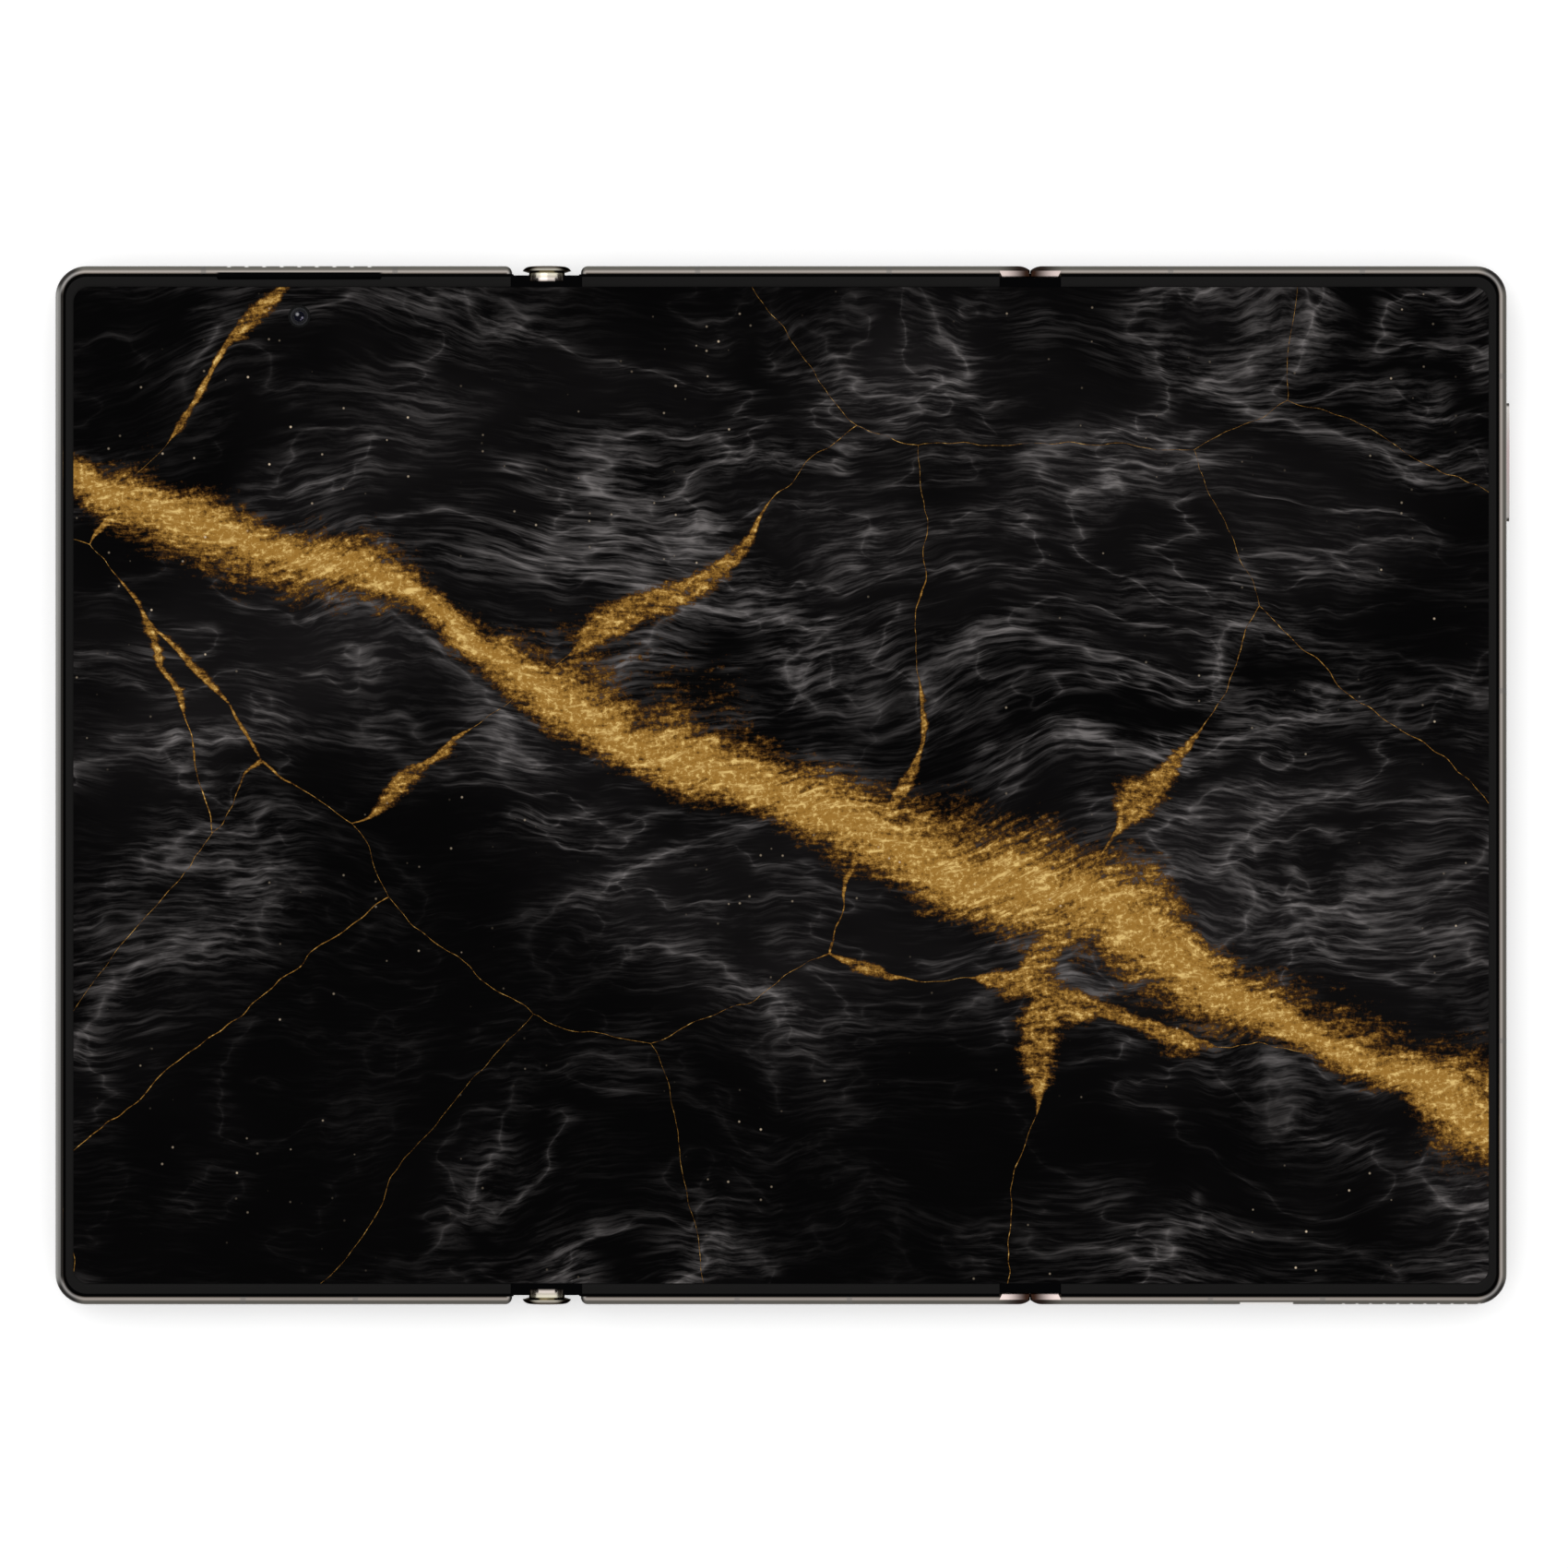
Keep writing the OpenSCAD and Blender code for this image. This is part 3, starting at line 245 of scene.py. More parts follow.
marbleLook = {
    "ground": (0.0004, 0.0003, 0.0003),
    "smoke": (0.0075, 0.0066, 0.0068),
    "fibre": (0.15, 0.138, 0.136),
    "umber": (0.055, 0.022, 0.004),
    "gold": (0.33, 0.165, 0.028),
    "paleGold": (0.80, 0.56, 0.20),
    "spark": (0.62, 0.50, 0.36),
    "warp": (0.0085, 2.0, 46.0),  # scale, octaves and reach of the slow bends
    "nudge": (0.045, 3.0, 9.0),
    # How much the grey wisps show, and where.
    "lineShare": 0.85,
    "litRange": (0.40, 0.60, 0.05, 1.0),
    "reliefRange": (0.38, 0.66),
    # The gold seam, its branches and how it shades from umber to pale gold.
    "seamSlope": 0.50,
    "seamShift": -2.0,
    "seamHalf": 6.5,
    "seamRange": (0.3, 0.7, 0.35, 1.5),
    "branchSpread": 0.0135,
    "branchHalf": 0.030,
    "branchReach": (46.0, 10.0),
    "branchRange": (0.46, 0.62),
    "hairline": 0.0004,
    "branchLimits": (-1.0, 0.45),
    "grainy": 2.0,
    "ragged": 2.2,
    "umberRange": (-0.20, 0.30),
    "goldRange": (0.10, 0.75),
    "hotRange": (0.45, 1.05),
    "fleckGlint": (0.50, 0.68),
    "streakGlint": (0.52, 0.70),
    "hotShare": 0.85,
    # Scattered sparks.
    "dotScale": 0.62,
    "dotRange": (0.15, 0.04),
    "dotChosen": (0.80, 0.97),
    "dustRange": (0.47, 0.66),
}

# Noise fields of the marble: the places each reads, their stretch, scale, shift, octaves, roughness.
marbleFields = {
    "fleck": ("flat", (1, 1, 1), 1.15, (0, 0, 0), 4.0, 0.75),
    "coarse": ("flat", (1, 1, 1), 0.028, (90, 30, 0), 3.0, 0.5),
    "lit": ("flat", (1, 1, 1), 0.013, (40, -70, 0), 3.0, 0.5),
    "dust": ("bent", (1, 1, 1), 0.03, (500, 0, 0), 3.0, 0.5),
    "fray": ("bent", (0.5, 2.2, 1.0), 0.9, (31, 9, 0), 3.0, 0.6),
    "relief": ("flowing", (0.5, 1.0, 1.0), 0.021, (0, 0, 0), 5.0, 0.5),
    "cross": ("flowing", (0.5, 1.0, 1.0), 0.034, (210, 60, 0), 4.0, 0.5),
    "hair": ("flowing", (0.16, 1.5, 1.0), 0.85, (7, 3, 0), 4.0, 0.65),
    "streak": ("flowing", (0.45, 1.6, 1.0), 0.55, (3, 77, 0), 4.0, 0.7),
}


# Grey wisps: contour lines of one field, broken into strands by another. Each has its field, its
# number of lines and their sharpness, then the field that breaks them and the range of that.
marbleWisps = [
    ("relief", 8.0, 2.4, "hair", (0.42, 0.74, 0.0, 0.75)),
    ("cross", 9.0, 3.4, "hair", (0.42, 0.74, 0.0, 0.55)),
    ("relief", 8.0, 16.0, "hair", (0.30, 0.65, 0.15, 0.62)),
    ("cross", 9.0, 22.0, "hair", (0.35, 0.65, 0.05, 0.45)),
    ("relief", 8.0, 2.4, "fray", (0.50, 0.80, 0.0, 0.20)),
]


def makeMarble():
    look = marbleLook
    tree, given, wanted = newGroup("marble", ["Colour"], "Color")

    def push(vector, scale, octaves, reach):
        swirl = noise(tree, vector, scale, octaves)[1]
        centred = vectorCalc(tree, "SUBTRACT", swirl, (0.5, 0.5, 0.5))
        level = vectorCalc(tree, "MULTIPLY", centred, (1, 1, 0))
        return vectorCalc(tree, "ADD", vector, vectorCalc(tree, "SCALE", level, scale=reach))

    # Flat places in millimetres, bent by slow swirls, so that the veins flow across all the panels.
    flat = vectorCalc(tree, "MULTIPLY", given["Place"], (toMm, toMm, 0.0))
    bent = push(flat, *look["warp"])
    flowing = push(bent, *look["nudge"])
    places = {"flat": flat, "bent": bent, "flowing": flowing}
    field = {}
    for name, (source, stretch, scale, shift, octaves, roughness) in marbleFields.items():
        stretched = vectorCalc(tree, "MULTIPLY", places[source], stretch)
        field[name] = noise(tree, vectorCalc(tree, "ADD", stretched, shift), scale, octaves, roughness)[0]

    lines = 0.0
    for source, count, sharp, breaker, limits in marbleWisps:
        wave = calc(tree, "FRACT", times(tree, field[source], count))
        off = away(tree, times(tree, wave, 2.0), 1.0)
        wisp = calc(tree, "POWER", minus(tree, 1.0, off, clamp=True), sharp)
        lines = plus(tree, lines, times(tree, wisp, ramp(tree, field[breaker], *limits)))
    lit = ramp(tree, field["lit"], *look["litRange"])
    lines = times(tree, lines, lit, look["lineShare"], clamp=True)
    shade = times(tree, ramp(tree, field["relief"], *look["reliefRange"]), lit)
    colour = mixColour(tree, shade, look["ground"], look["smoke"])
    colour = mixColour(tree, lines, colour, look["fibre"])

    # The broad seam of gold, and the thin branches that leave it.
    split = axes(tree, flowing)
    off = plus(tree, split[1], times(tree, split[0], look["seamSlope"]), look["seamShift"])
    off = calc(tree, "ABSOLUTE", off)
    half = times(tree, ramp(tree, field["coarse"], *look["seamRange"]), look["seamHalf"])
    seam = minus(tree, 1.0, calc(tree, "DIVIDE", off, half))
    cells = {"Vector": flowing, "Scale": look["branchSpread"]}
    toEdge = addNode(tree, "ShaderNodeTexVoronoi", cells, feature="DISTANCE_TO_EDGE").outputs[0]
    swell = ramp(tree, field["coarse"], *look["branchRange"], 0.0, look["branchHalf"])
    reach = times(tree, ramp(tree, off, *look["branchReach"]), swell)
    reach = plus(tree, reach, look["hairline"])
    twig = minus(tree, 1.0, calc(tree, "DIVIDE", toEdge, reach))
    least, most = look["branchLimits"]
    twig = calc(tree, "MINIMUM", calc(tree, "MAXIMUM", twig, least), most)
    grainy = times(tree, minus(tree, field["fleck"], 0.5), look["grainy"])
    ragged = times(tree, minus(tree, field["streak"], 0.5), look["ragged"])
    body = plus(tree, calc(tree, "MAXIMUM", seam, twig), plus(tree, grainy, ragged))
    for tint in ("umber", "gold"):
        colour = mixColour(tree, ramp(tree, body, *look[tint + "Range"]), colour, look[tint])
    glint = ramp(tree, field["fleck"], *look["fleckGlint"])
    glint = plus(tree, glint, ramp(tree, field["streak"], *look["streakGlint"]), clamp=True)
    hot = times(tree, ramp(tree, body, *look["hotRange"]), glint, look["hotShare"])
    colour = mixColour(tree, hot, colour, look["paleGold"])

    dots = addNode(tree, "ShaderNodeTexVoronoi", {"Vector": flat, "Scale": look["dotScale"]}).outputs
    tiny = ramp(tree, dots[0], *look["dotRange"])
    pick = addNode(tree, "ShaderNodeSeparateColor", {0: dots[1]}).outputs[0]
    dusted = ramp(tree, field["dust"], *look["dustRange"])
    spark = times(tree, tiny, ramp(tree, pick, *look["dotChosen"]), dusted)
    return giveOut(tree, wanted, Colour=mixColour(tree, spark, colour, look["spark"]))


# How far a place lies inside the outline of the open phone, along its rim and its folds.

outlineShape = {
    "corner": 4.65,
    "cornerTurn": (0.25, 2.1),  # where a corner's own painted bands fade in
    "foldCorner": 1.1,
    "foldEnd": (1.0, 0.35),  # and where they do beside the outer fold
    "creaseCorner": 1.2,
    "creaseSquash": 0.4,
    "outside": 99.0,
}


def makeRimInset():
    look = outlineShape
    outputs = ("Inset", "Corner", "Crease", "Across", "Along")
    tree, given, wanted = newGroup("rimInset", outputs)
    low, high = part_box("left_frame")[0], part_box("right_frame")[1]
    x, y, z = axesInMm(tree, given["Place"])
    fromTop = minus(tree, high.y / mm, calc(tree, "ABSOLUTE", y))

    # Depth inside a rounded corner, and how far round the corner the place lies.
    def corner(fromSide, radius):
        qx = minus(tree, radius, fromSide)
        qy = minus(tree, radius, fromTop)
        px = calc(tree, "MAXIMUM", qx, 0.0)
        py = calc(tree, "MAXIMUM", qy, 0.0)
        squares = plus(tree, times(tree, px, px), times(tree, py, py))
        inner = calc(tree, "MINIMUM", calc(tree, "MAXIMUM", qx, qy), 0.0)
        reach = plus(tree, calc(tree, "SQRT", squares), inner)
        return minus(tree, radius, reach), calc(tree, "MINIMUM", qx, qy)

    halfWidth, middleX = (high.x - low.x) / 2 / mm, (high.x + low.x) / 2 / mm
    rim, turn = corner(minus(tree, halfWidth, away(tree, x, middleX)), look["corner"])
    foldHalf = (outerFoldHigh.x - outerFoldLow.x) / 2 / mm
    fromMiddle = away(tree, x, middleOf("outer_fold_display")[0] / mm)
    fromFold = minus(tree, fromMiddle, foldHalf)
    fold = corner(fromFold, look["foldCorner"])[0]
    between = calc(tree, "LESS_THAN", fromMiddle, foldHalf)
    fold = plus(tree, fold, times(tree, between, look["outside"]))
    crease = away(tree, x, innerFoldX / mm)
    notch = corner(times(tree, crease, look["creaseSquash"]), look["creaseCorner"])[0]
    inset = calc(tree, "MINIMUM", rim, fold, notch)
    turned = ramp(tree, turn, *look["cornerTurn"])
    turned = calc(tree, "MAXIMUM", turned, ramp(tree, fromFold, *look["foldEnd"]))
    return giveOut(tree, wanted, Inset=inset, Corner=turned, Crease=crease, Across=x, Along=y)


fineGrain = makeFineGrain()
leatherGrain = makeLeatherGrain()
marble = makeMarble()
rimInset = makeRimInset()
print("shared effects ready")


# Materials.

socketNames = {
    "colour": "Base Color",
    "roughness": "Roughness",
    "metallic": "Metallic",
    "specular": "Specular IOR Level",
    "edgeTint": "Specular Tint",
    "ior": "IOR",
    "transmission": "Transmission Weight",
    "glow": "Emission Color",
    "glowStrength": "Emission Strength",
}
grainDepth = 0.01
finishes = {}


def feed(tree, shader, **values):
    for key, value in values.items():
        setSocket(tree, shader.inputs[socketNames[key]], value)


def newMaterial(name, **values):
    made = bpy.data.materials.new(name)
    made.use_nodes = True
    tree = made.node_tree
    shader = tree.nodes["Principled BSDF"]
    feed(tree, shader, **values)
    finishes[name] = made
    return tree, shader, addNode(tree, "ShaderNodeTexCoord").outputs


def setBump(tree, shader, height, strength, depth=grainDepth):
    inputs = {"Height": height, "Strength": strength, "Distance": depth * mm}
    tree.links.new(addNode(tree, "ShaderNodeBump", inputs).outputs[0], shader.inputs["Normal"])


# The last step of every grained material: its tone, its gloss and its bump follow one fine grain.
def addGrain(tree, shader, place, colour, roughness, swing, bump, size, tone, stretch=(1, 1, 1), dim=1.0):
    inputs = {"Place": place["Object"], "Size": size, "Stretch": stretch, "Tone": tone}
    grain = useGroup(tree, fineGrain, inputs)
    shade = grain["Shade"] if dim == 1.0 else times(tree, grain["Shade"], dim)
    gloss = plus(tree, roughness, times(tree, grain["Gloss"], swing))
    feed(tree, shader, colour=tintBy(tree, colour, shade), roughness=gloss)
    setBump(tree, shader, grain["Height"], bump)


# Size is the grain's, in millimetres, and tone is how far its colour swings.
metalFinishes = {
    "polishedSpineMetal": dict(colour=(0.4, 0.33, 0.3), roughness=0.18, size=0.08, tone=0.05, bump=0.05),
    "darkHingeSteel": dict(colour=(0.30, 0.28, 0.27), roughness=0.34, size=0.15, stretch=(1, 0.05, 1)),
    "groundSteel": dict(colour=(0.55, 0.54, 0.53), roughness=0.26, size=0.1, stretch=(1, 1, 0.08)),
    "trayMetal": dict(colour=(0.52, 0.48, 0.45), size=0.1),
    "pressedSteel": dict(colour=(0.50, 0.50, 0.50), size=0.2, stretch=(1, 0.1, 1)),
    "darkIslandMetal": dict(colour=(0.10, 0.092, 0.088), roughness=0.22, size=0.08),
    "lensRingMetal": dict(colour=(0.42, 0.38, 0.35), roughness=0.18, size=0.06, tone=0.05, bump=0.05),
}
plainMetal = dict(roughness=0.30, tone=0.1, bump=0.15, swing=0.16)
plasticFinishes = {
    "foilBatteryWrap": dict(colour=(0.06, 0.065, 0.075), roughness=0.35, size=0.4, tone=0.2, bump=0.3),
    "blackMoulding": dict(colour=(0.012, 0.012, 0.014), roughness=0.42),
    "supportFilm": dict(colour=(0.012, 0.012, 0.014), roughness=0.4, size=0.3),
    "solderResist": dict(colour=(0.02, 0.09, 0.055), roughness=0.32, size=0.5, tone=0.3),
    "bezelPad": dict(colour=(0.0062, 0.0058, 0.0056), size=0.15, bump=0.1, specular=0.06),
    # The slope is the pad's plastic, painted darker as shade.
    "shadedBezelSlope": dict(colour=(0.0008,) * 3, size=0.15, tone=0.05, bump=0.1, specular=0.01),
    "flashPhosphor": dict(colour=(0.80, 0.62, 0.22), roughness=0.3, size=0.25, tone=0.3),
    "blackBackedGlass": dict(colour=(0.006, 0.006, 0.007), roughness=0.06, size=0.5, tone=0.1, bump=0.0),
    "lensBaffle": dict(colour=(0.003,) * 3, roughness=0.55, size=0.1, bump=0.15, specular=0.06),
}
plainPlastic = dict(roughness=0.5, size=0.2, tone=0.08, bump=0.2, swing=0.2, specular=0.5)


def makeGrainedFinishes():
    for name, values in metalFinishes.items():
        tree, shader, place = newMaterial(name, metallic=1.0)
        addGrain(tree, shader, place, **{**plainMetal, **values})
    for name, values in plasticFinishes.items():
        values = {**plainPlastic, **values}
        tree, shader, place = newMaterial(name, specular=values.pop("specular"))
        addGrain(tree, shader, place, **values)


# The bands are painted highlights and painted shade of the frame's rounded edge. They run inwards from
# the outer edge, as a share of bandWidth.
frameFinish = {
    "bandWidth": 1.5,
    "rimBand": [
        (0.00, (0.20, 0.190, 0.175)),
        (0.12, (0.110, 0.105, 0.092)),
        (0.30, (0.095, 0.090, 0.078)),
        (0.42, (0.20, 0.178, 0.158)),
        (0.55, (0.385, 0.350, 0.320)),
        (0.66, (0.25, 0.215, 0.190)),
        (0.78, (0.030, 0.024, 0.019)),
    ],
    "leftBand": [
        (0.00, (0.290, 0.285, 0.275)),
        (0.22, (0.265, 0.260, 0.250)),
        (0.33, (0.180, 0.176, 0.168)),
        (0.49, (0.155, 0.152, 0.145)),
        (0.56, (0.050, 0.048, 0.045)),
        (0.62, (0.003, 0.003, 0.003)),
    ],
    "cornerBand": [
        (0.00, (0.130, 0.125, 0.120)),
        (0.12, (0.030, 0.028, 0.026)),
        (0.30, (0.018, 0.017, 0.016)),
        (0.42, (0.120, 0.115, 0.110)),
        (0.55, (0.300, 0.285, 0.275)),
        (0.66, (0.130, 0.120, 0.115)),
        (0.76, (0.010, 0.009, 0.008)),
    ],
    "leftReach": (1.6, 0.9),  # from the left edge, where the left band leaves out the painted highlight
    "creasePaintedShade": (0.016, 0.010, 0.008),
    "creaseReach": (5.5, 1.4),  # from the inner fold, over which the painted shade fades out
    "facetPaintedShade": (0.030, 0.013, 0.008),
    "facetPaintedHighlight": (0.74, 0.61, 0.575),
    "facetRange": (0.5, 4.2),
    "facetHalf": 4.65,
    "facetTop": 77.62,
    "facetSlant": 0.5,  # how far a facet's end leans
    "side": (0.150, 0.135, 0.122),
    "sideRange": (1.5, 0.6),  # depths below the top, as the next ones are
    "fillet": (0.46, 0.34),
    "cutPaintedHighlight": (0.72, 0.70, 0.68),
    "slotPaintedShade": (0.002, 0.002, 0.002),
    "portHalf": 4.0,
    "portCut": (0.39, 0.29),
    "cutSoft": 0.15,
    "tickCut": (0.26, 0.12),
    "tickWidth": (0.16, 0.04),
    "earTicks": (2.65, 9),  # pitch and count
    "soundTicks": (2.05, 11),
    "tickShift": 100.0,  # whole pitches, which keep the count above zero
    "soundShare": 0.6,
    "earHalf": 12.4,
    "earSoft": 0.4,
    "earSlot": (0.90, 1.0),
    "landRoughness": 0.30,
    "sideRoughness": 0.36,
    "grain": dict(swing=0.12, bump=0.12, size=0.09, tone=0.1),
}


# Painted highlights at the mouths of the port and the sound holes, and painted shade in the slot beside
# the earpiece.
def openingMasks(tree, rim):
    look = frameFinish
    atTop = calc(tree, "GREATER_THAN", rim["Along"], 0.0)
    atBottom = calc(tree, "LESS_THAN", rim["Along"], 0.0)

    def within(node, half, soft):
        gap = away(tree, rim["Across"], middleOf(node)[0] / mm)
        return ramp(tree, gap, half + soft, half - soft)

    def ticks(node, pitch, count):
        steps = calc(tree, "DIVIDE", minus(tree, rim["Across"], middleOf(node)[0] / mm), pitch)
        steps = plus(tree, steps, look["tickShift"] + (0.5 if count % 2 else 0.0))
        off = away(tree, calc(tree, "FRACT", steps), 0.5)
        tick = ramp(tree, off, *look["tickWidth"])
        return times(tree, tick, within(node, pitch * count / 2, look["cutSoft"]))

    portEdge = ramp(tree, rim["Inset"], *look["portCut"])
    port = times(tree, within("usb_port", look["portHalf"], look["cutSoft"]), atBottom, portEdge)
    ear = times(tree, ticks("earpiece", *look["earTicks"]), atTop)
    sound = times(tree, ticks("loudspeaker", *look["soundTicks"]), atBottom, look["soundShare"])
    cuts = times(tree, plus(tree, ear, sound), ramp(tree, rim["Inset"], *look["tickCut"]))
    slot = times(tree, within("earpiece", look["earHalf"], look["earSoft"]), atTop)
    slot = times(tree, slot, ramp(tree, rim["Inset"], *look["earSlot"]))
    return plus(tree, port, cuts, clamp=True), slot


def rimColours(tree, place, depthFromTop):
    look = frameFinish
    rim = useGroup(tree, rimInset, {"Place": place["Object"]})
    depth = calc(tree, "DIVIDE", rim["Inset"], look["bandWidth"], clamp=True)
    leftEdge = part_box("left_frame")[0].x / mm
    atLeft = ramp(tree, rim["Across"], *(leftEdge + reach for reach in look["leftReach"]))
    # The rim, left and corner bands paint highlights and shade onto the frame's edge.
    plain, left, corner = (bands(tree, depth, look[name + "Band"]) for name in ("rim", "left", "corner"))
    colour = mixColour(tree, rim["Corner"], mixColour(tree, atLeft, plain, left), corner)
    # Painted shade darkens the rim towards the inner fold's crease.
    colour = mixColour(tree, ramp(tree, rim["Crease"], *look["creaseReach"]), colour, look["creasePaintedShade"])
    cut, slot = openingMasks(tree, rim)
    # Painted highlights on the cuts, kept to the fillet.
    cut = times(tree, cut, ramp(tree, depthFromTop, *look["fillet"]))
    colour = mixColour(tree, cut, colour, look["cutPaintedHighlight"])
    # Painted shade in the slot beside the earpiece.
    colour = mixColour(tree, slot, colour, look["slotPaintedShade"])

    # The polished facets beside the inner fold, painted with a highlight at their outer ends that fades
    # to painted shade towards the crease.
    down = minus(tree, look["facetTop"], calc(tree, "ABSOLUTE", rim["Along"]))
    slanted = plus(tree, rim["Crease"], times(tree, down, look["facetSlant"]))
    inFacet = calc(tree, "LESS_THAN", slanted, look["facetHalf"])
    inFacet = times(tree, inFacet, calc(tree, "GREATER_THAN", down, 0.0))
    shine = ramp(tree, rim["Crease"], *look["facetRange"])
    return mixColour(tree, inFacet, colour, mixColour(tree, shine, look["facetPaintedShade"], look["facetPaintedHighlight"]))


def makeFrameFinish(name, metallic, dim=1.0, duller=0.0):
    look = frameFinish
    tree, shader, place = newMaterial(name, metallic=metallic)
    height = axesInMm(tree, place["Object"])[2]
    below = minus(tree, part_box("left_frame")[1].z / mm, height)
    upper = ramp(tree, below, *look["sideRange"])
    colour = mixColour(tree, upper, look["side"], rimColours(tree, place, below))
    rough = ramp(tree, upper, 0.0, 1.0, look["sideRoughness"] + duller, look["landRoughness"] + duller)
    addGrain(tree, shader, place, colour, rough, dim=dim, **look["grain"])


# The bands are painted highlights and painted shade on the cap. They run from the neck to the crown of
# the cap, as a share of reach.
capFinish = {
    "reach": 2.45,
    "bands": [
        (0.03, (0.060, 0.050, 0.044)),
        (0.10, (0.310, 0.270, 0.245)),
        (0.20, (0.800, 0.710, 0.650)),
        (0.35, (0.560, 0.505, 0.425)),
        (0.50, (0.840, 0.790, 0.640)),
        (0.59, (0.480, 0.440, 0.320)),
        (0.66, (0.270, 0.245, 0.180)),
        (0.75, (0.500, 0.465, 0.390)),
        (0.87, (0.130, 0.115, 0.095)),
        (0.97, (0.120, 0.110, 0.100)),
    ],
    "face": (0.42, 0.375, 0.335),
    "faceRange": (0.97, 0.995),
    "edgeTint": (0.25, 0.23, 0.21),
    "sideRange": (2.6, 1.1, 0.05, 1.0),  # painted shade: the cap's ends are darker than its middle
    "grain": dict(roughness=0.2, swing=0.1, bump=0.05, size=0.08, tone=0.05),
}


def makeCapFinish():
    look = capFinish
    tree, shader, place = newMaterial("polishedCapMetal", metallic=1.0, edgeTint=look["edgeTint"])
    x, y, z = axesInMm(tree, place["Object"])
    aside = away(tree, x, middleOf("outer_end_caps")[0] / mm)
    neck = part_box("outer_end_caps")[1].y / mm - look["reach"]
    up = calc(tree, "DIVIDE", minus(tree, calc(tree, "ABSOLUTE", y), neck), look["reach"], clamp=True)
    # Painted highlights and shade: the bands, darkened towards the cap's ends.
    colour = tintBy(tree, bands(tree, up, look["bands"]), ramp(tree, aside, *look["sideRange"]))
    facing = calc(tree, "ABSOLUTE", axes(tree, place["Normal"])[1])
    colour = mixColour(tree, ramp(tree, facing, *look["faceRange"]), colour, look["face"])
    addGrain(tree, shader, place, colour, **look["grain"])


# The bands are painted highlights and painted shade, and run from one end of the key to the other.
keyFinish = {
    "flange": 0.8,
    "bands": [
        (0.020, (0.070, 0.062, 0.055)),
        (0.036, (0.420, 0.395, 0.375)),
        (0.450, (0.500, 0.405, 0.400)),
        (0.620, (0.520, 0.425, 0.420)),
        (0.850, (0.580, 0.545, 0.520)),
        (0.964, (0.640, 0.610, 0.580)),
        (0.982, (0.080, 0.072, 0.065)),
    ],
    "grain": dict(roughness=0.24, swing=0.1, bump=0.1, size=0.08, tone=0.08),
}


def makeKeyFinish():
    look = keyFinish
    tree, shader, place = newMaterial("keyMetal", metallic=1.0)
    low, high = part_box("power_key")
    start, end = low.y / mm + look["flange"], high.y / mm - look["flange"]
    y = axesInMm(tree, place["Object"])[1]
    up = calc(tree, "DIVIDE", minus(tree, y, start), end - start, clamp=True)
    # The bands paint highlights and shade along the key.
    addGrain(tree, shader, place, bands(tree, up, look["bands"]), **look["grain"])


leatherFinish = {
    "pebble": 0.75,
    "deep": (0.012, 0.011, 0.011),
    "high": (0.040, 0.037, 0.036),
    "worn": (0.055, 0.05, 0.047),
    "wornShare": 0.5,
    "specular": 0.25,
    "roughness": (0.7, 0.5),
    "bump": 0.6,
    "depth": 0.08,
}


def makeLeather():
    look = leatherFinish
    tree, shader, place = newMaterial("darkLeatherCover", specular=look["specular"])
    grain = useGroup(tree, leatherGrain, {"Place": place["Object"], "Pebble": look["pebble"]})
    colour = mixColour(tree, grain["Crease"], look["deep"], look["high"])
    worn = times(tree, grain["Patch"], look["wornShare"])
    rough = ramp(tree, grain["Crease"], 0.0, 1.0, *look["roughness"])
    feed(tree, shader, colour=mixColour(tree, worn, colour, look["worn"]), roughness=rough)
    setBump(tree, shader, grain["Height"], look["bump"], look["depth"])


screenFinish = {
    "glass": (0.0002, 0.0002, 0.0003),
    "border": (0.0004, 0.0004, 0.0005),
    "litReach": 75.15,  # half the height of the picture
    "specular": 0.015,
    "smudge": (70.0, 3.0),
    "roughness": (0.3, 0.7, 0.10, 0.17),
}


# The strips over the folds carry their rest places as a map, so that the picture keeps its place on them.
def makeScreen(name, source):
    look = screenFinish
    tree, shader, place = newMaterial(name, colour=look["glass"], specular=look["specular"])
    where = place[source]
    smudge = noise(tree, where, *look["smudge"])[0]
    lit = calc(tree, "LESS_THAN", calc(tree, "ABSOLUTE", axes(tree, where)[1]), look["litReach"] * mm)
    picture = mixColour(tree, lit, look["border"], useGroup(tree, marble, {"Place": where})["Colour"])
    rough = ramp(tree, smudge, *look["roughness"])
    feed(tree, shader, roughness=rough, glow=picture, glowStrength=1.0)


# Gleams are painted highlights on a lens: offsets across and along, radius and colour.
lensFinishes = {
    "rearLensCoating": {
        "deep": (0.006, 0.008, 0.022),
        "rim": (0.05, 0.09, 0.30),
        "specular": 0.35,
        "paintedGleams": [],
    },
    "frontLensCoating": {
        "deep": (0.003, 0.003, 0.006),
        "rim": (0.006, 0.007, 0.030),
        "specular": 0.03,
        "paintedGleams": [
            (-0.31, 0.34, 0.36, (0.26, 0.26, 0.27)),
            (0.46, -0.20, 0.24, (0.20, 0.19, 0.25)),
            (0.22, -0.48, 0.16, (0.11, 0.10, 0.15)),
        ],
    },
}
lensCoat = {
    "edge": 0.45,
    "driftScale": 260.0,
    "drift": (0.3, 0.7, 0.7, 1.0),
    "roughness": 0.03,
    "gleamCore": 0.35,
}


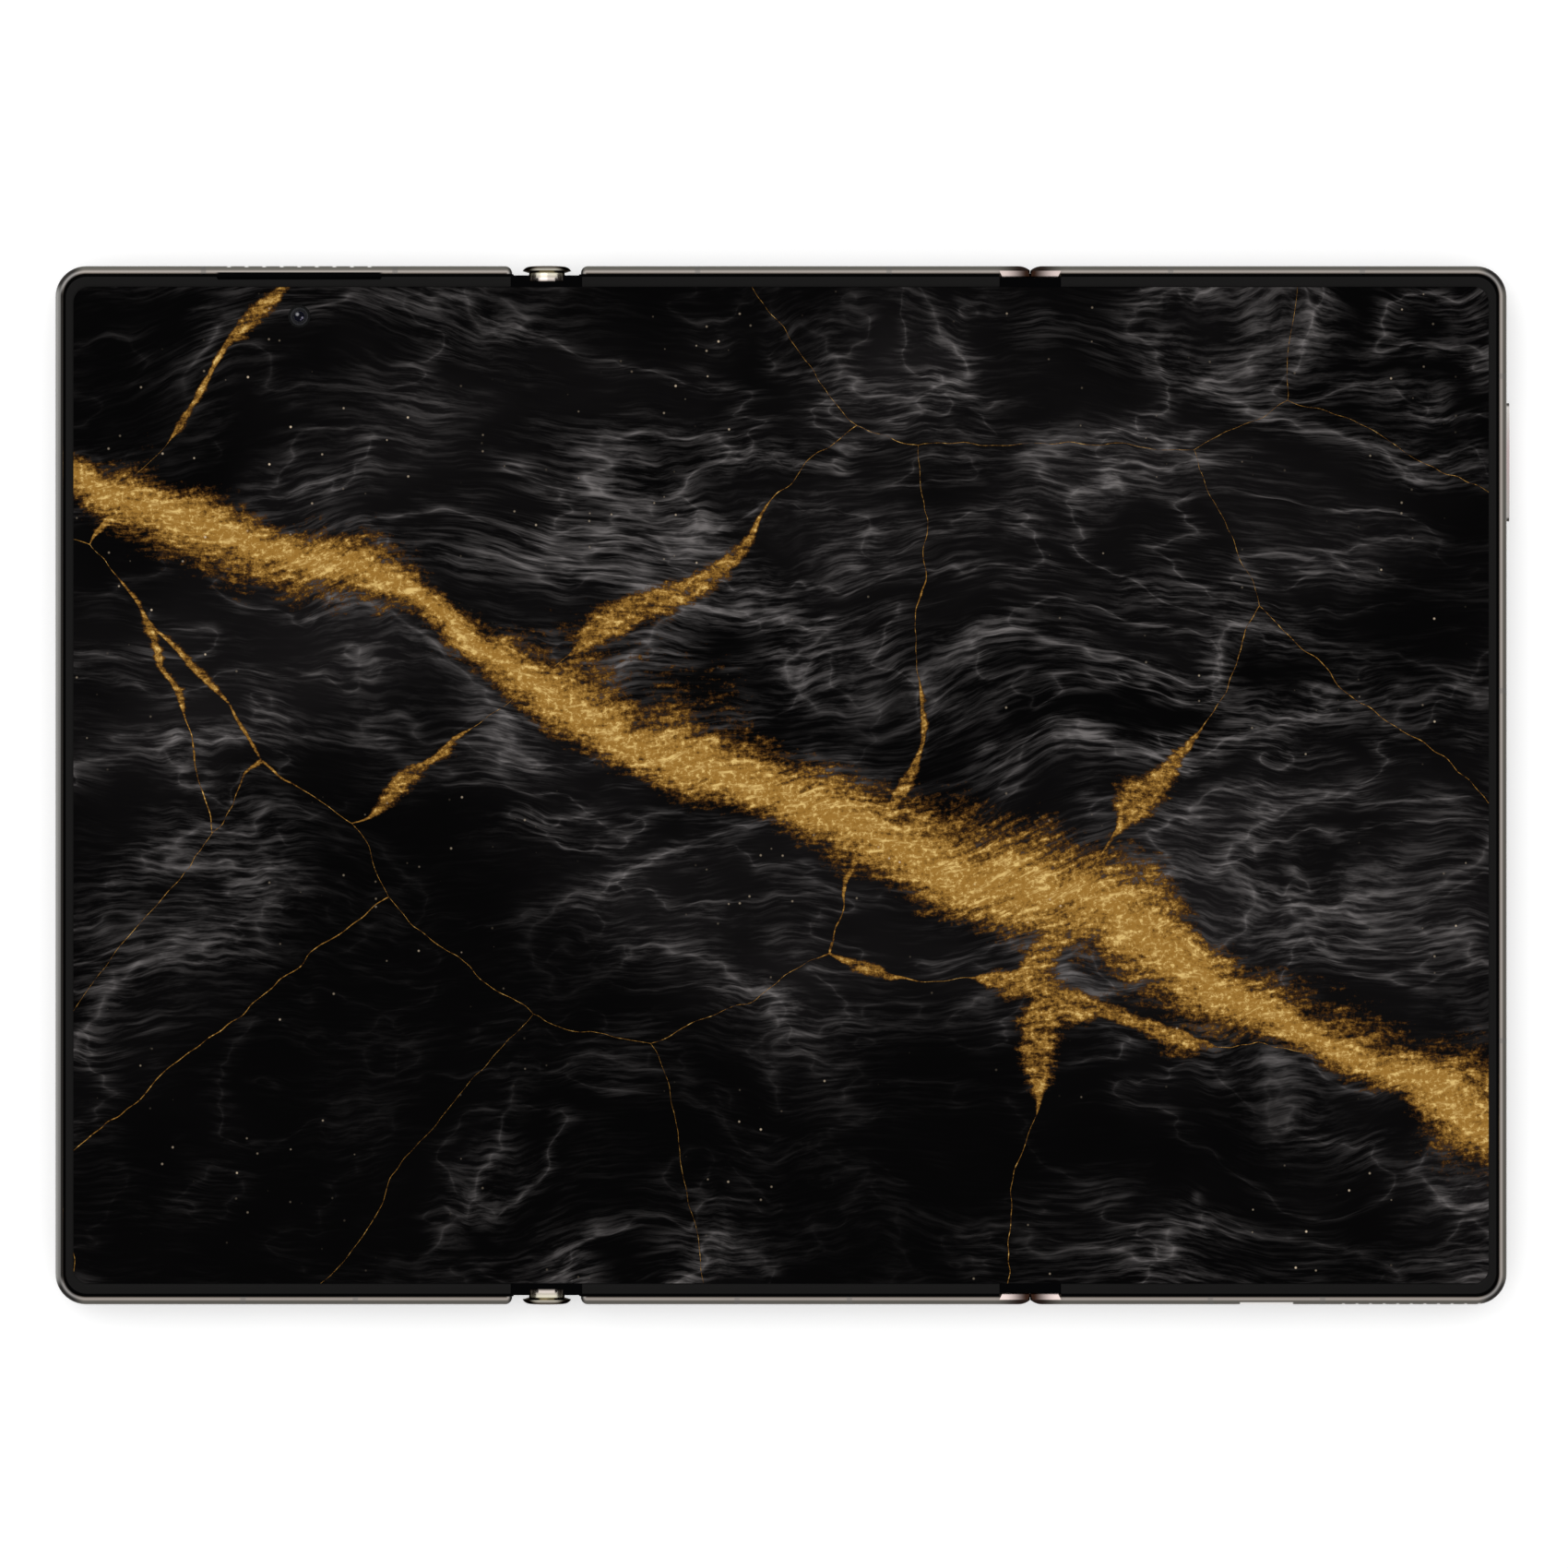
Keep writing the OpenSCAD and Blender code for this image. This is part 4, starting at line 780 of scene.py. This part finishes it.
def makeCoatedLens(name, centre):
    look, coat = lensFinishes[name], lensCoat
    tree, shader, place = newMaterial(name, roughness=coat["roughness"], specular=look["specular"])
    # Painted sheen: the rim colour shows where the lens turns away from the view.
    edge = addNode(tree, "ShaderNodeLayerWeight", {"Blend": coat["edge"]}).outputs[1]
    drift = ramp(tree, noise(tree, place["Object"], coat["driftScale"])[0], *coat["drift"])
    shown = mixColour(tree, times(tree, edge, drift), look["deep"], look["rim"])
    # Painted highlights, one spot for each gleam.
    for across, along, radius, gleam in look["paintedGleams"]:
        spot = (centre[0] + across * mm, centre[1] + along * mm, centre[2])
        gap = vectorCalc(tree, "SUBTRACT", place["Object"], spot)
        gap = vectorCalc(tree, "LENGTH", vectorCalc(tree, "MULTIPLY", gap, (toMm, toMm, 0)))
        shown = mixColour(tree, ramp(tree, gap, radius, radius * coat["gleamCore"]), shown, gleam)
    feed(tree, shader, colour=shown)


windowFinish = {
    "colour": (0.96, 0.97, 0.98),
    "ior": 1.18,
    "hazeScale": 900.0,
    "haze": (0.3, 0.8, 0.0, 0.03),
}


def makeClearWindow():
    look = windowFinish
    tree, shader, place = newMaterial("clearWindow", colour=look["colour"], transmission=1.0)
    haze = noise(tree, place["Object"], look["hazeScale"])[0]
    feed(tree, shader, ior=look["ior"], roughness=ramp(tree, haze, *look["haze"]))


makeFrameFinish("satinFrameMetal", metallic=1.0)
makeFrameFinish("antennaBreakPlastic", metallic=0.0, dim=0.72, duller=0.1)
makeCapFinish()
makeKeyFinish()
makeGrainedFinishes()
makeLeather()
makeScreen("litScreen", "Object")
makeScreen("litFoldScreen", "UV")
makeCoatedLens("rearLensCoating", middleOf("camera_lenses"))
makeCoatedLens("frontLensCoating", middleOf("front_lens"))
makeClearWindow()
print("materials ready")


def inEachPanel(part):
    return [side + "_" + part for side in ("left", "middle", "right")]


dressedNodes = {
    "satinFrameMetal": inEachPanel("frame"),
    "darkLeatherCover": inEachPanel("cover"),
    "litScreen": inEachPanel("display"),
    "foilBatteryWrap": inEachPanel("battery"),
    "antennaBreakPlastic": inEachPanel("antenna_breaks"),
    "blackMoulding": ["front_camera", "earpiece", "camera_modules", "loudspeaker"],
    "rearLensCoating": ["camera_lenses"],
    "frontLensCoating": ["front_lens"],
    "trayMetal": ["sim_tray"],
    "pressedSteel": ["sim_reader", "usb_port", "vibration_motor", "power_switch"],
    "darkIslandMetal": ["camera_island"],
    "blackBackedGlass": ["camera_glass"],
    "flashPhosphor": ["camera_flash"],
    "solderResist": ["main_board"],
    "keyMetal": ["power_key"],
    "darkHingeSteel": ["outer_barrel", "outer_wing_left", "outer_wing_middle"]
    + ["middle_door", "right_door"],
    "polishedCapMetal": ["outer_end_caps"],
    "polishedSpineMetal": ["inner_spine"],
    "groundSteel": ["outer_arm_left", "outer_arm_middle", "outer_shafts", "inner_shafts"]
    + ["inner_arm_middle", "inner_arm_right", "inner_idler_middle", "inner_idler_right"],
}
for finish, names in dressedNodes.items():
    for name in names:
        nodes[name].data.materials.clear()
        nodes[name].data.materials.append(finishes[finish])
print("nodes dressed")


# Helpers for objects and meshes.

def addObject(name, data):
    made = bpy.data.objects.new(name, data)
    bpy.context.scene.collection.objects.link(made)
    return made


# Marks give each face its material, by its place in the list.
def makePiece(name, points, faces, materials, marks=(), sharp=30):
    mesh = bpy.data.meshes.new(name)
    mesh.from_pydata(points, [], faces)
    for material in materials:
        mesh.materials.append(finishes[material])
    for polygon, mark in zip(mesh.polygons, marks):
        polygon.material_index = mark
    work = bmesh.new()
    work.from_mesh(mesh)
    bmesh.ops.recalc_face_normals(work, faces=work.faces)
    work.to_mesh(mesh)
    work.free()
    mesh.shade_smooth()
    mesh.set_sharp_from_angle(angle=math.radians(sharp))
    return addObject(name, mesh)


def arcPoints(centre, radius, start, end, steps):
    made = []
    for i in range(steps + 1):
        angle = math.radians(start + (end - start) * i / steps)
        made.append((centre[0] + radius * math.cos(angle), centre[1] + radius * math.sin(angle)))
    return made


# Joins rings of points to a skin. An open row of rings gets a face at each end.
def sweepRings(rings, closed=False):
    count, total = len(rings[0]), len(rings)
    faces = []
    for k in range(total if closed else total - 1):
        a, b = k * count, (k + 1) % total * count
        for i in range(count):
            j = (i + 1) % count
            faces.append((a + i, a + j, b + j, b + i))
    if not closed:
        faces += [tuple(range(count)), tuple(range((total - 1) * count, total * count))]
    return [point for ring in rings for point in ring], faces


# The strips of the screen over the folds.

foldSkin = {
    "columns": 20,
    "rows": 24,
    "sideTabs": 0.9,  # how far the outer strips reach past the display, as tabs beside the end caps
    "innerStill": 1.5,  # passed to foldStrip as an inner strip's still length beside its panel
}


def foldStrip(name, node, low, high, body, nextBody, stillAtStart=0.0, stillAtEnd=0.0):
    columns, rows = foldSkin["columns"], foldSkin["rows"]
    points, faces, marks = [], [], []
    for z in (high.z, low.z):
        for j in range(rows + 1):
            for i in range(columns + 1):
                x = low.x + (high.x - low.x) * i / columns
                points.append((x, low.y + (high.y - low.y) * j / rows, z))
    across = columns + 1
    layer = across * (rows + 1)
    for j in range(rows):
        for i in range(columns):
            a = j * across + i
            b = a + layer
            faces.append((a, a + 1, a + across + 1, a + across))
            faces.append((b, b + across, b + across + 1, b + 1))
            marks += [0, 1]
    rim = list(range(across))
    rim += [j * across + columns for j in range(1, rows + 1)]
    rim += [rows * across + i for i in range(columns - 1, -1, -1)]
    rim += [j * across for j in range(rows - 1, 0, -1)]
    for k, a in enumerate(rim):
        b = rim[(k + 1) % len(rim)]
        faces.append((a, a + layer, b + layer, b))
        marks.append(0)
    made = makePiece(name, points, faces, ["litFoldScreen", "supportFilm"], marks)
    restPlace = made.data.uv_layers.new(name="restPlace")
    for loop in made.data.loops:
        restPlace.data[loop.index].uv = made.data.vertices[loop.vertex_index].co.xy
    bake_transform(made)
    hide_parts(node)


def buildFolds():
    chain = ["left_panel", "outer_wing_left", "outer_barrel", "outer_wing_middle", "middle_panel"]
    count = len(chain) - 1
    width = (outerFoldHigh.x - outerFoldLow.x) / count
    for i in range(count):
        tab = foldSkin["sideTabs"] * mm if i in (0, count - 1) else 0.0
        low = Vector((outerFoldLow.x + i * width, outerFoldLow.y - tab, outerFoldLow.z))
        high = Vector((low.x + width, outerFoldHigh.y + tab, outerFoldHigh.z))
        foldStrip("outerFoldSkin" + str(i + 1), "outer_fold_display", low, high, chain[i], chain[i + 1])
    edges = [innerFoldLow.x, innerFoldX, innerFoldHigh.x]
    chain = ["middle_panel", "inner_spine", "right_panel"]
    for i in range(2):
        low = Vector((edges[i], innerFoldLow.y, innerFoldLow.z))
        high = Vector((edges[i + 1], innerFoldHigh.y, innerFoldHigh.z))
        still = [0.0, 0.0]
        still[i] = foldSkin["innerStill"] * mm
        pair = (chain[i], chain[i + 1])
        foldStrip("innerFoldSkin" + str(i + 1), "inner_fold_display", low, high, *pair, *still)


# Thin dark sheets that close the crease between the two frames, beyond the ends of the spine. They stand
# in for the shade in the crease.

creaseShadeSheet = {"half": 0.03, "start": 0.02, "reach": 0.75, "top": 0.9, "bottom": 3.2, "steps": 6}


def buildCreaseShadeSheets():
    look = creaseShadeSheet
    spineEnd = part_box("inner_spine")[1].y
    left, right = (innerFoldX + side * look["half"] * mm for side in (-1, 1))
    top, bottom = (screenTop - look[end] * mm for end in ("top", "bottom"))
    for sign, label in ((1, "Top"), (-1, "Bottom")):
        rings = []
        for k in range(look["steps"] + 1):
            y = sign * (spineEnd + (look["start"] + look["reach"] * k / look["steps"]) * mm)
            rings.append([(left, y, top), (left, y, bottom), (right, y, bottom), (right, y, top)])
        seal = makePiece("creaseShadeSheet" + label, *sweepRings(rings), ["lensBaffle"])
        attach(seal, "inner_spine")


buildFolds()
buildCreaseShadeSheets()
print("fold skins ready")


# The raised bezels.

bezelShape = {
    "band": 1.9,
    "sideBand": 1.5,
    "outerCorner": 3.42,
    "innerCorner": 2.4,
    "outerSlope": 0.42,
    "innerSlope": 0.32,
    # Curves of the two slopes, as shares of the slope's width and of the bezel's rise.
    "outerCurve": [(0.0, 0.0), (0.0, 0.25), (0.72, 0.84), (1.0, 0.97), (1.35, 1.0)],
    "innerCurve": [(1.5, 1.0), (1.0, 0.95), (0.45, 0.66), (0.0, 0.0)],
    "slopeSides": 3,  # sides of the profile, from outside, in the finish with painted shade
    "slotHalf": 12.5,
    "slotDepth": 0.42,
    "slotSlant": 0.25,
    "cornerSteps": 10,
    "sharp": 50,
}


def bezelProfile(width):
    look = bezelShape
    rise = (bezelHigh.z - bezelLow.z) / mm
    outer = [(look["outerSlope"] * x, rise * z) for x, z in look["outerCurve"]]
    return outer + [(width - look["innerSlope"] * x, rise * z) for x, z in look["innerCurve"]]


def sweepBezel(name, outerPath, innerPath, body, node):
    rings = []
    for (ox, oy), (ix, iy) in zip(outerPath, innerPath):
        width = math.hypot(ix - ox, iy - oy)
        ring = []
        for across, up in bezelProfile(width):
            t = across / width
            ring.append(((ox + (ix - ox) * t) * mm, (oy + (iy - oy) * t) * mm, bezelLow.z + up * mm))
        rings.append(ring)
    points, faces = sweepRings(rings)
    marks = [1 if k % len(ring) < bezelShape["slopeSides"] else 0 for k in range(len(faces) - 2)] + [0, 0]
    made = makePiece(name, points, faces, ["bezelPad", "shadedBezelSlope"], marks, bezelShape["sharp"])
    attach(made, body)
    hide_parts(node)


# One side's path from its open end at the top, round both corners, to its open end at the bottom.
def cornerPath(side, openX, edgeX, edgeY, radius, slotX=None, slotDepth=0.0):
    half, slant = bezelShape["slotHalf"], bezelShape["slotSlant"]
    centre = (edgeX - side * radius, edgeY - radius)
    turn = arcPoints(centre, radius, 90, 180 if side < 0 else 0, bezelShape["cornerSteps"])

    def upperHalf(depth):
        path = [(openX, edgeY)]
        if slotX is not None:
            cuts = ((half, 0), (half - slant, depth), (slant - half, depth), (-half, 0))
            path += [(slotX + x, edgeY - cut) for x, cut in cuts]
        return path + turn

    return upperHalf(slotDepth) + [(x, -y) for x, y in reversed(upperHalf(0.0))]


def buildBezels():
    look = bezelShape
    edge = screenEdge / mm
    inner = edge - look["band"]
    for side, prefix in ((-1, "left"), (1, "right")):
        low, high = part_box(prefix + "_bezel")
        outerX, openX = (low.x, high.x) if side < 0 else (high.x, low.x)
        slotX = middleOf("earpiece")[0] / mm if side < 0 else None
        path = (side, openX / mm, outerX / mm, edge, look["outerCorner"])
        outerPath = cornerPath(*path, slotX, look["slotDepth"])
        path = (side, openX / mm, outerX / mm - side * look["sideBand"], inner, look["innerCorner"])
        innerPath = cornerPath(*path, slotX)
        sweepBezel(prefix + "BezelFrame", outerPath, innerPath, prefix + "_panel", prefix + "_bezel")
    low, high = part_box("middle_bezel")
    for sign, label in ((1, "Top"), (-1, "Bottom")):
        outerPath = [(x / mm, sign * edge) for x in (low.x, high.x)]
        innerPath = [(x / mm, sign * inner) for x in (low.x, high.x)]
        sweepBezel("middleBezel" + label, outerPath, innerPath, "middle_panel", "middle_bezel")


buildBezels()
print("bezels ready")


# Turned parts: a profile of radius and height, turned about an upright axis.

def lathe(name, centre, profile, material, turns, body):
    rings = []
    for k in range(turns):
        x, y = math.cos(2 * math.pi * k / turns) * mm, math.sin(2 * math.pi * k / turns) * mm
        rings.append([(centre[0] + r * x, centre[1] + r * y, height * mm) for r, height in profile])
    made = makePiece(name, *sweepRings(rings, closed=True), [material], sharp=35)
    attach(made, body)


# Curves give places from a ring's inner and outer edges, each with its drop from the crown.
def ringProfile(look, seat, crown):
    inner, outer = look["innerD"] / 2, look["outerD"] / 2
    down = 1 if seat > crown else -1
    profile = [(inner, seat)]
    profile += [(inner + across, crown + down * drop) for across, drop in look["innerCurve"]]
    profile += [(outer - across, crown + down * drop) for across, drop in look["outerCurve"]]
    return profile + [(outer, seat)]


# The rear cameras, seen through windows in the island's glass.

islandGlass = {
    "windowD": 8.6,
    "flashWindowD": 4.0,
    "windowSteps": 40,
    "cornerShare": 1.045,  # reach of the octagon's rounded corners, as a share of its half width
    "cornerSteps": 6,
    "weld": 0.001,
}
lensRing = {
    "innerD": 8.56,
    "outerD": 9.3,
    "proud": 0.16,
    "sink": 0.02,
    "innerCurve": [(0.02, 0.048), (0.10, 0.0)],
    "outerCurve": [(0.12, 0.0), (0.02, 0.072)],
    "turns": 64,
}
flashRing = {
    "innerD": 4.0,
    "outerD": 4.6,
    "proud": 0.08,
    "sink": 0.02,
    "innerCurve": [(0.03, 0.0)],
    "outerCurve": [(0.03, 0.0)],
    "turns": 48,
}
lensBaffle = {
    "wideD": 7.9,
    "narrowD": 5.5,
    "steps": 5,
    "gap": 0.02,
    "pitch": 0.17,
    "thick": 0.15,
    "turns": 64,
}


def octagonOutline(width):
    reach = islandGlass["cornerShare"] * width / 2
    lean = math.degrees(math.acos(width / 2 / reach))
    points = []
    for k in range(8):
        start, end = 45 * k + lean, 45 * (k + 1) - lean
        points += arcPoints((0, 0), reach, start, end, islandGlass["cornerSteps"])
    return points


def circleOutline(x, y, diameter):
    steps = islandGlass["windowSteps"]
    return arcPoints((x, y), diameter / 2, 0, 360 - 360 / steps, steps - 1)


# The middles of a node's separate solids.
def looseParts(node):
    work = bmesh.new()
    work.from_mesh(nodes[node].data)
    bmesh.ops.remove_doubles(work, verts=work.verts, dist=islandGlass["weld"] * mm)
    seen, centres = set(), []
    for vert in work.verts:
        if vert.index in seen:
            continue
        group = [vert]
        seen.add(vert.index)
        for here in group:  # the list grows until the whole solid is in it
            for edge in here.link_edges:
                other = edge.other_vert(here)
                if other.index not in seen:
                    seen.add(other.index)
                    group.append(other)
        spans = ([v.co.x for v in group], [v.co.y for v in group])
        centres.append(tuple((min(span) + max(span)) / 2 for span in spans))
    work.free()
    return centres


def buildIslandGlass(lensPlaces, flashPlace):
    look = islandGlass
    middle = middleOf("camera_glass")
    outer = octagonOutline((glassHigh.x - glassLow.x) / mm)
    spots = [(p, look["windowD"]) for p in lensPlaces] + [(flashPlace, look["flashWindowD"])]
    rounds = [circleOutline((p[0] - middle[0]) / mm, (p[1] - middle[1]) / mm, d) for p, d in spots]
    loops = [outer] + rounds
    flat = [(x, y) for loop in loops for x, y in loop]
    count = len(flat)
    points = [(middle[0] + x * mm, middle[1] + y * mm, glassLow.z) for x, y in flat]
    points += [(x, y, glassHigh.z) for x, y, z in points]
    faces, marks = [], []
    for tri in tessellate_polygon([[Vector((x, y, 0)) for x, y in loop] for loop in loops]):
        faces += [tuple(tri), tuple(i + count for i in reversed(tri))]
        marks += [0, 0]
    start = len(outer)
    for i in range(start):
        j = (i + 1) % start
        faces.append((i, j, j + count, i + count))
        marks.append(0)
    for loop in rounds:
        ring = list(range(start, start + len(loop)))
        faces += [tuple(ring), tuple(i + count for i in reversed(ring))]
        marks += [2, 2] if loop is rounds[-1] else [1, 1]  # the last one is the flash's
        start += len(loop)
    finish = ["blackBackedGlass", "clearWindow", "flashPhosphor"]
    made = makePiece("islandGlass", points, faces, finish, marks)
    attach(made, "right_panel")
    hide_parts("camera_glass")


def buildIslandRing(name, look, place):
    face = glassLow.z / mm
    profile = ringProfile(look, face + look["sink"], face - look["proud"])
    lathe(name, place, profile, "lensRingMetal", look["turns"], "right_panel")


# A stepped hood behind each window, narrower towards the lens.
def buildBaffle(name, place):
    look = lensBaffle
    profile = []
    for i in range(look["steps"]):
        share = i / (look["steps"] - 1)
        radius = (look["wideD"] + (look["narrowD"] - look["wideD"]) * share) / 2
        depth = glassHigh.z / mm + look["gap"] + i * look["pitch"]
        profile += [(radius, depth), (radius, depth + look["thick"])]
    lathe(name, place, profile, "lensBaffle", look["turns"], "right_panel")


def buildRearCamera():
    lensPlaces = looseParts("camera_lenses")
    flashPlace = middleOf("camera_flash")
    buildIslandGlass(lensPlaces, flashPlace)
    for k, place in enumerate(lensPlaces, 1):
        buildIslandRing("lensRing" + str(k), lensRing, place)
        buildBaffle("lensBaffle" + str(k), place)
    buildIslandRing("flashRing", flashRing, flashPlace)


frontRing = {
    "innerD": 2.62,
    "outerD": 3.36,
    "sink": 0.02,
    "lift": 0.001,
    "innerCurve": [(0.0, 0.02), (0.05, 0.0)],
    "outerCurve": [(0.05, 0.0), (0.0, 0.015)],
    "turns": 48,
}


def buildFrontRing():
    look = frontRing
    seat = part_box("front_camera")[1].z / mm + look["lift"]
    profile = ringProfile(look, seat, screenTop / mm - look["sink"])
    place = middleOf("front_lens")
    lathe("frontCameraRing", place, profile, "lensBaffle", look["turns"], "left_panel")


buildRearCamera()
buildFrontRing()
print("cameras ready")


# The floor, the light and the camera.

studio = {
    "floor": dict(colour=(0.86, 0.86, 0.86), roughness=0.85, specular=0.1),
    "floorLift": 0.36,
    "floorSize": 6.0,
    "floorDrop": 0.02,
    "skyStrength": 0.88,
    "lampPlace": (-0.35, 0.5, 0.9),
    "lampSize": 0.9,
    "lampPower": 1.6,
    "lens": 250.0,
    "sensor": 36.0,
    "frameWidth": 236.6,
    "centre": (0.196, 0.19),
    "clip": (0.1, 20.0),
}


def showsBackground(tree):
    path = addNode(tree, "ShaderNodeLightPath").outputs
    rays = [path["Is " + kind + " Ray"] for kind in ("Camera", "Glossy", "Transmission")]
    return plus(tree, *rays, clamp=True)


def buildFloor():
    look = studio
    bpy.ops.mesh.primitive_plane_add(size=look["floorSize"], location=(0, 0, -look["floorDrop"] * mm))
    floor = bpy.context.object
    floor.name = "paleFloor"
    tree, shader = newMaterial("paleFloor", **look["floor"])[:2]
    feed(tree, shader, glow=(1, 1, 1), glowStrength=times(tree, showsBackground(tree), look["floorLift"]))
    floor.data.materials.append(finishes["paleFloor"])


def buildSky():
    world = bpy.data.worlds.new("softSky")
    bpy.context.scene.world = world
    world.use_nodes = True
    tree = world.node_tree
    sky = tree.nodes["Background"].inputs
    setSocket(tree, sky["Color"], (1, 1, 1))
    strength = ramp(tree, showsBackground(tree), 0.0, 1.0, studio["skyStrength"], 1.0)
    setSocket(tree, sky["Strength"], strength)


def addLamp():
    lamp = bpy.data.lights.new("keyLamp", "AREA")
    lamp.shape = "DISK"
    lamp.size = studio["lampSize"]
    lamp.energy = studio["lampPower"]
    made = addObject("keyLamp", lamp)
    made.location = studio["lampPlace"]
    made.rotation_euler = (-made.location).to_track_quat("-Z", "Y").to_euler()


def buildCamera():
    look = studio
    camera = bpy.data.cameras.new("straightOn")
    camera.lens = look["lens"]
    camera.sensor_width = look["sensor"]
    camera.sensor_fit = "HORIZONTAL"
    camera.clip_start, camera.clip_end = look["clip"]
    made = addObject("straightOn", camera)
    x, y = look["centre"]
    distance = look["frameWidth"] * mm * look["lens"] / look["sensor"]
    made.location = (x * mm, y * mm, screenTop + distance)
    bpy.context.scene.camera = made


buildFloor()
buildSky()
addLamp()
buildCamera()
bpy.context.scene.view_settings.view_transform = "Standard"
print("stage ready")
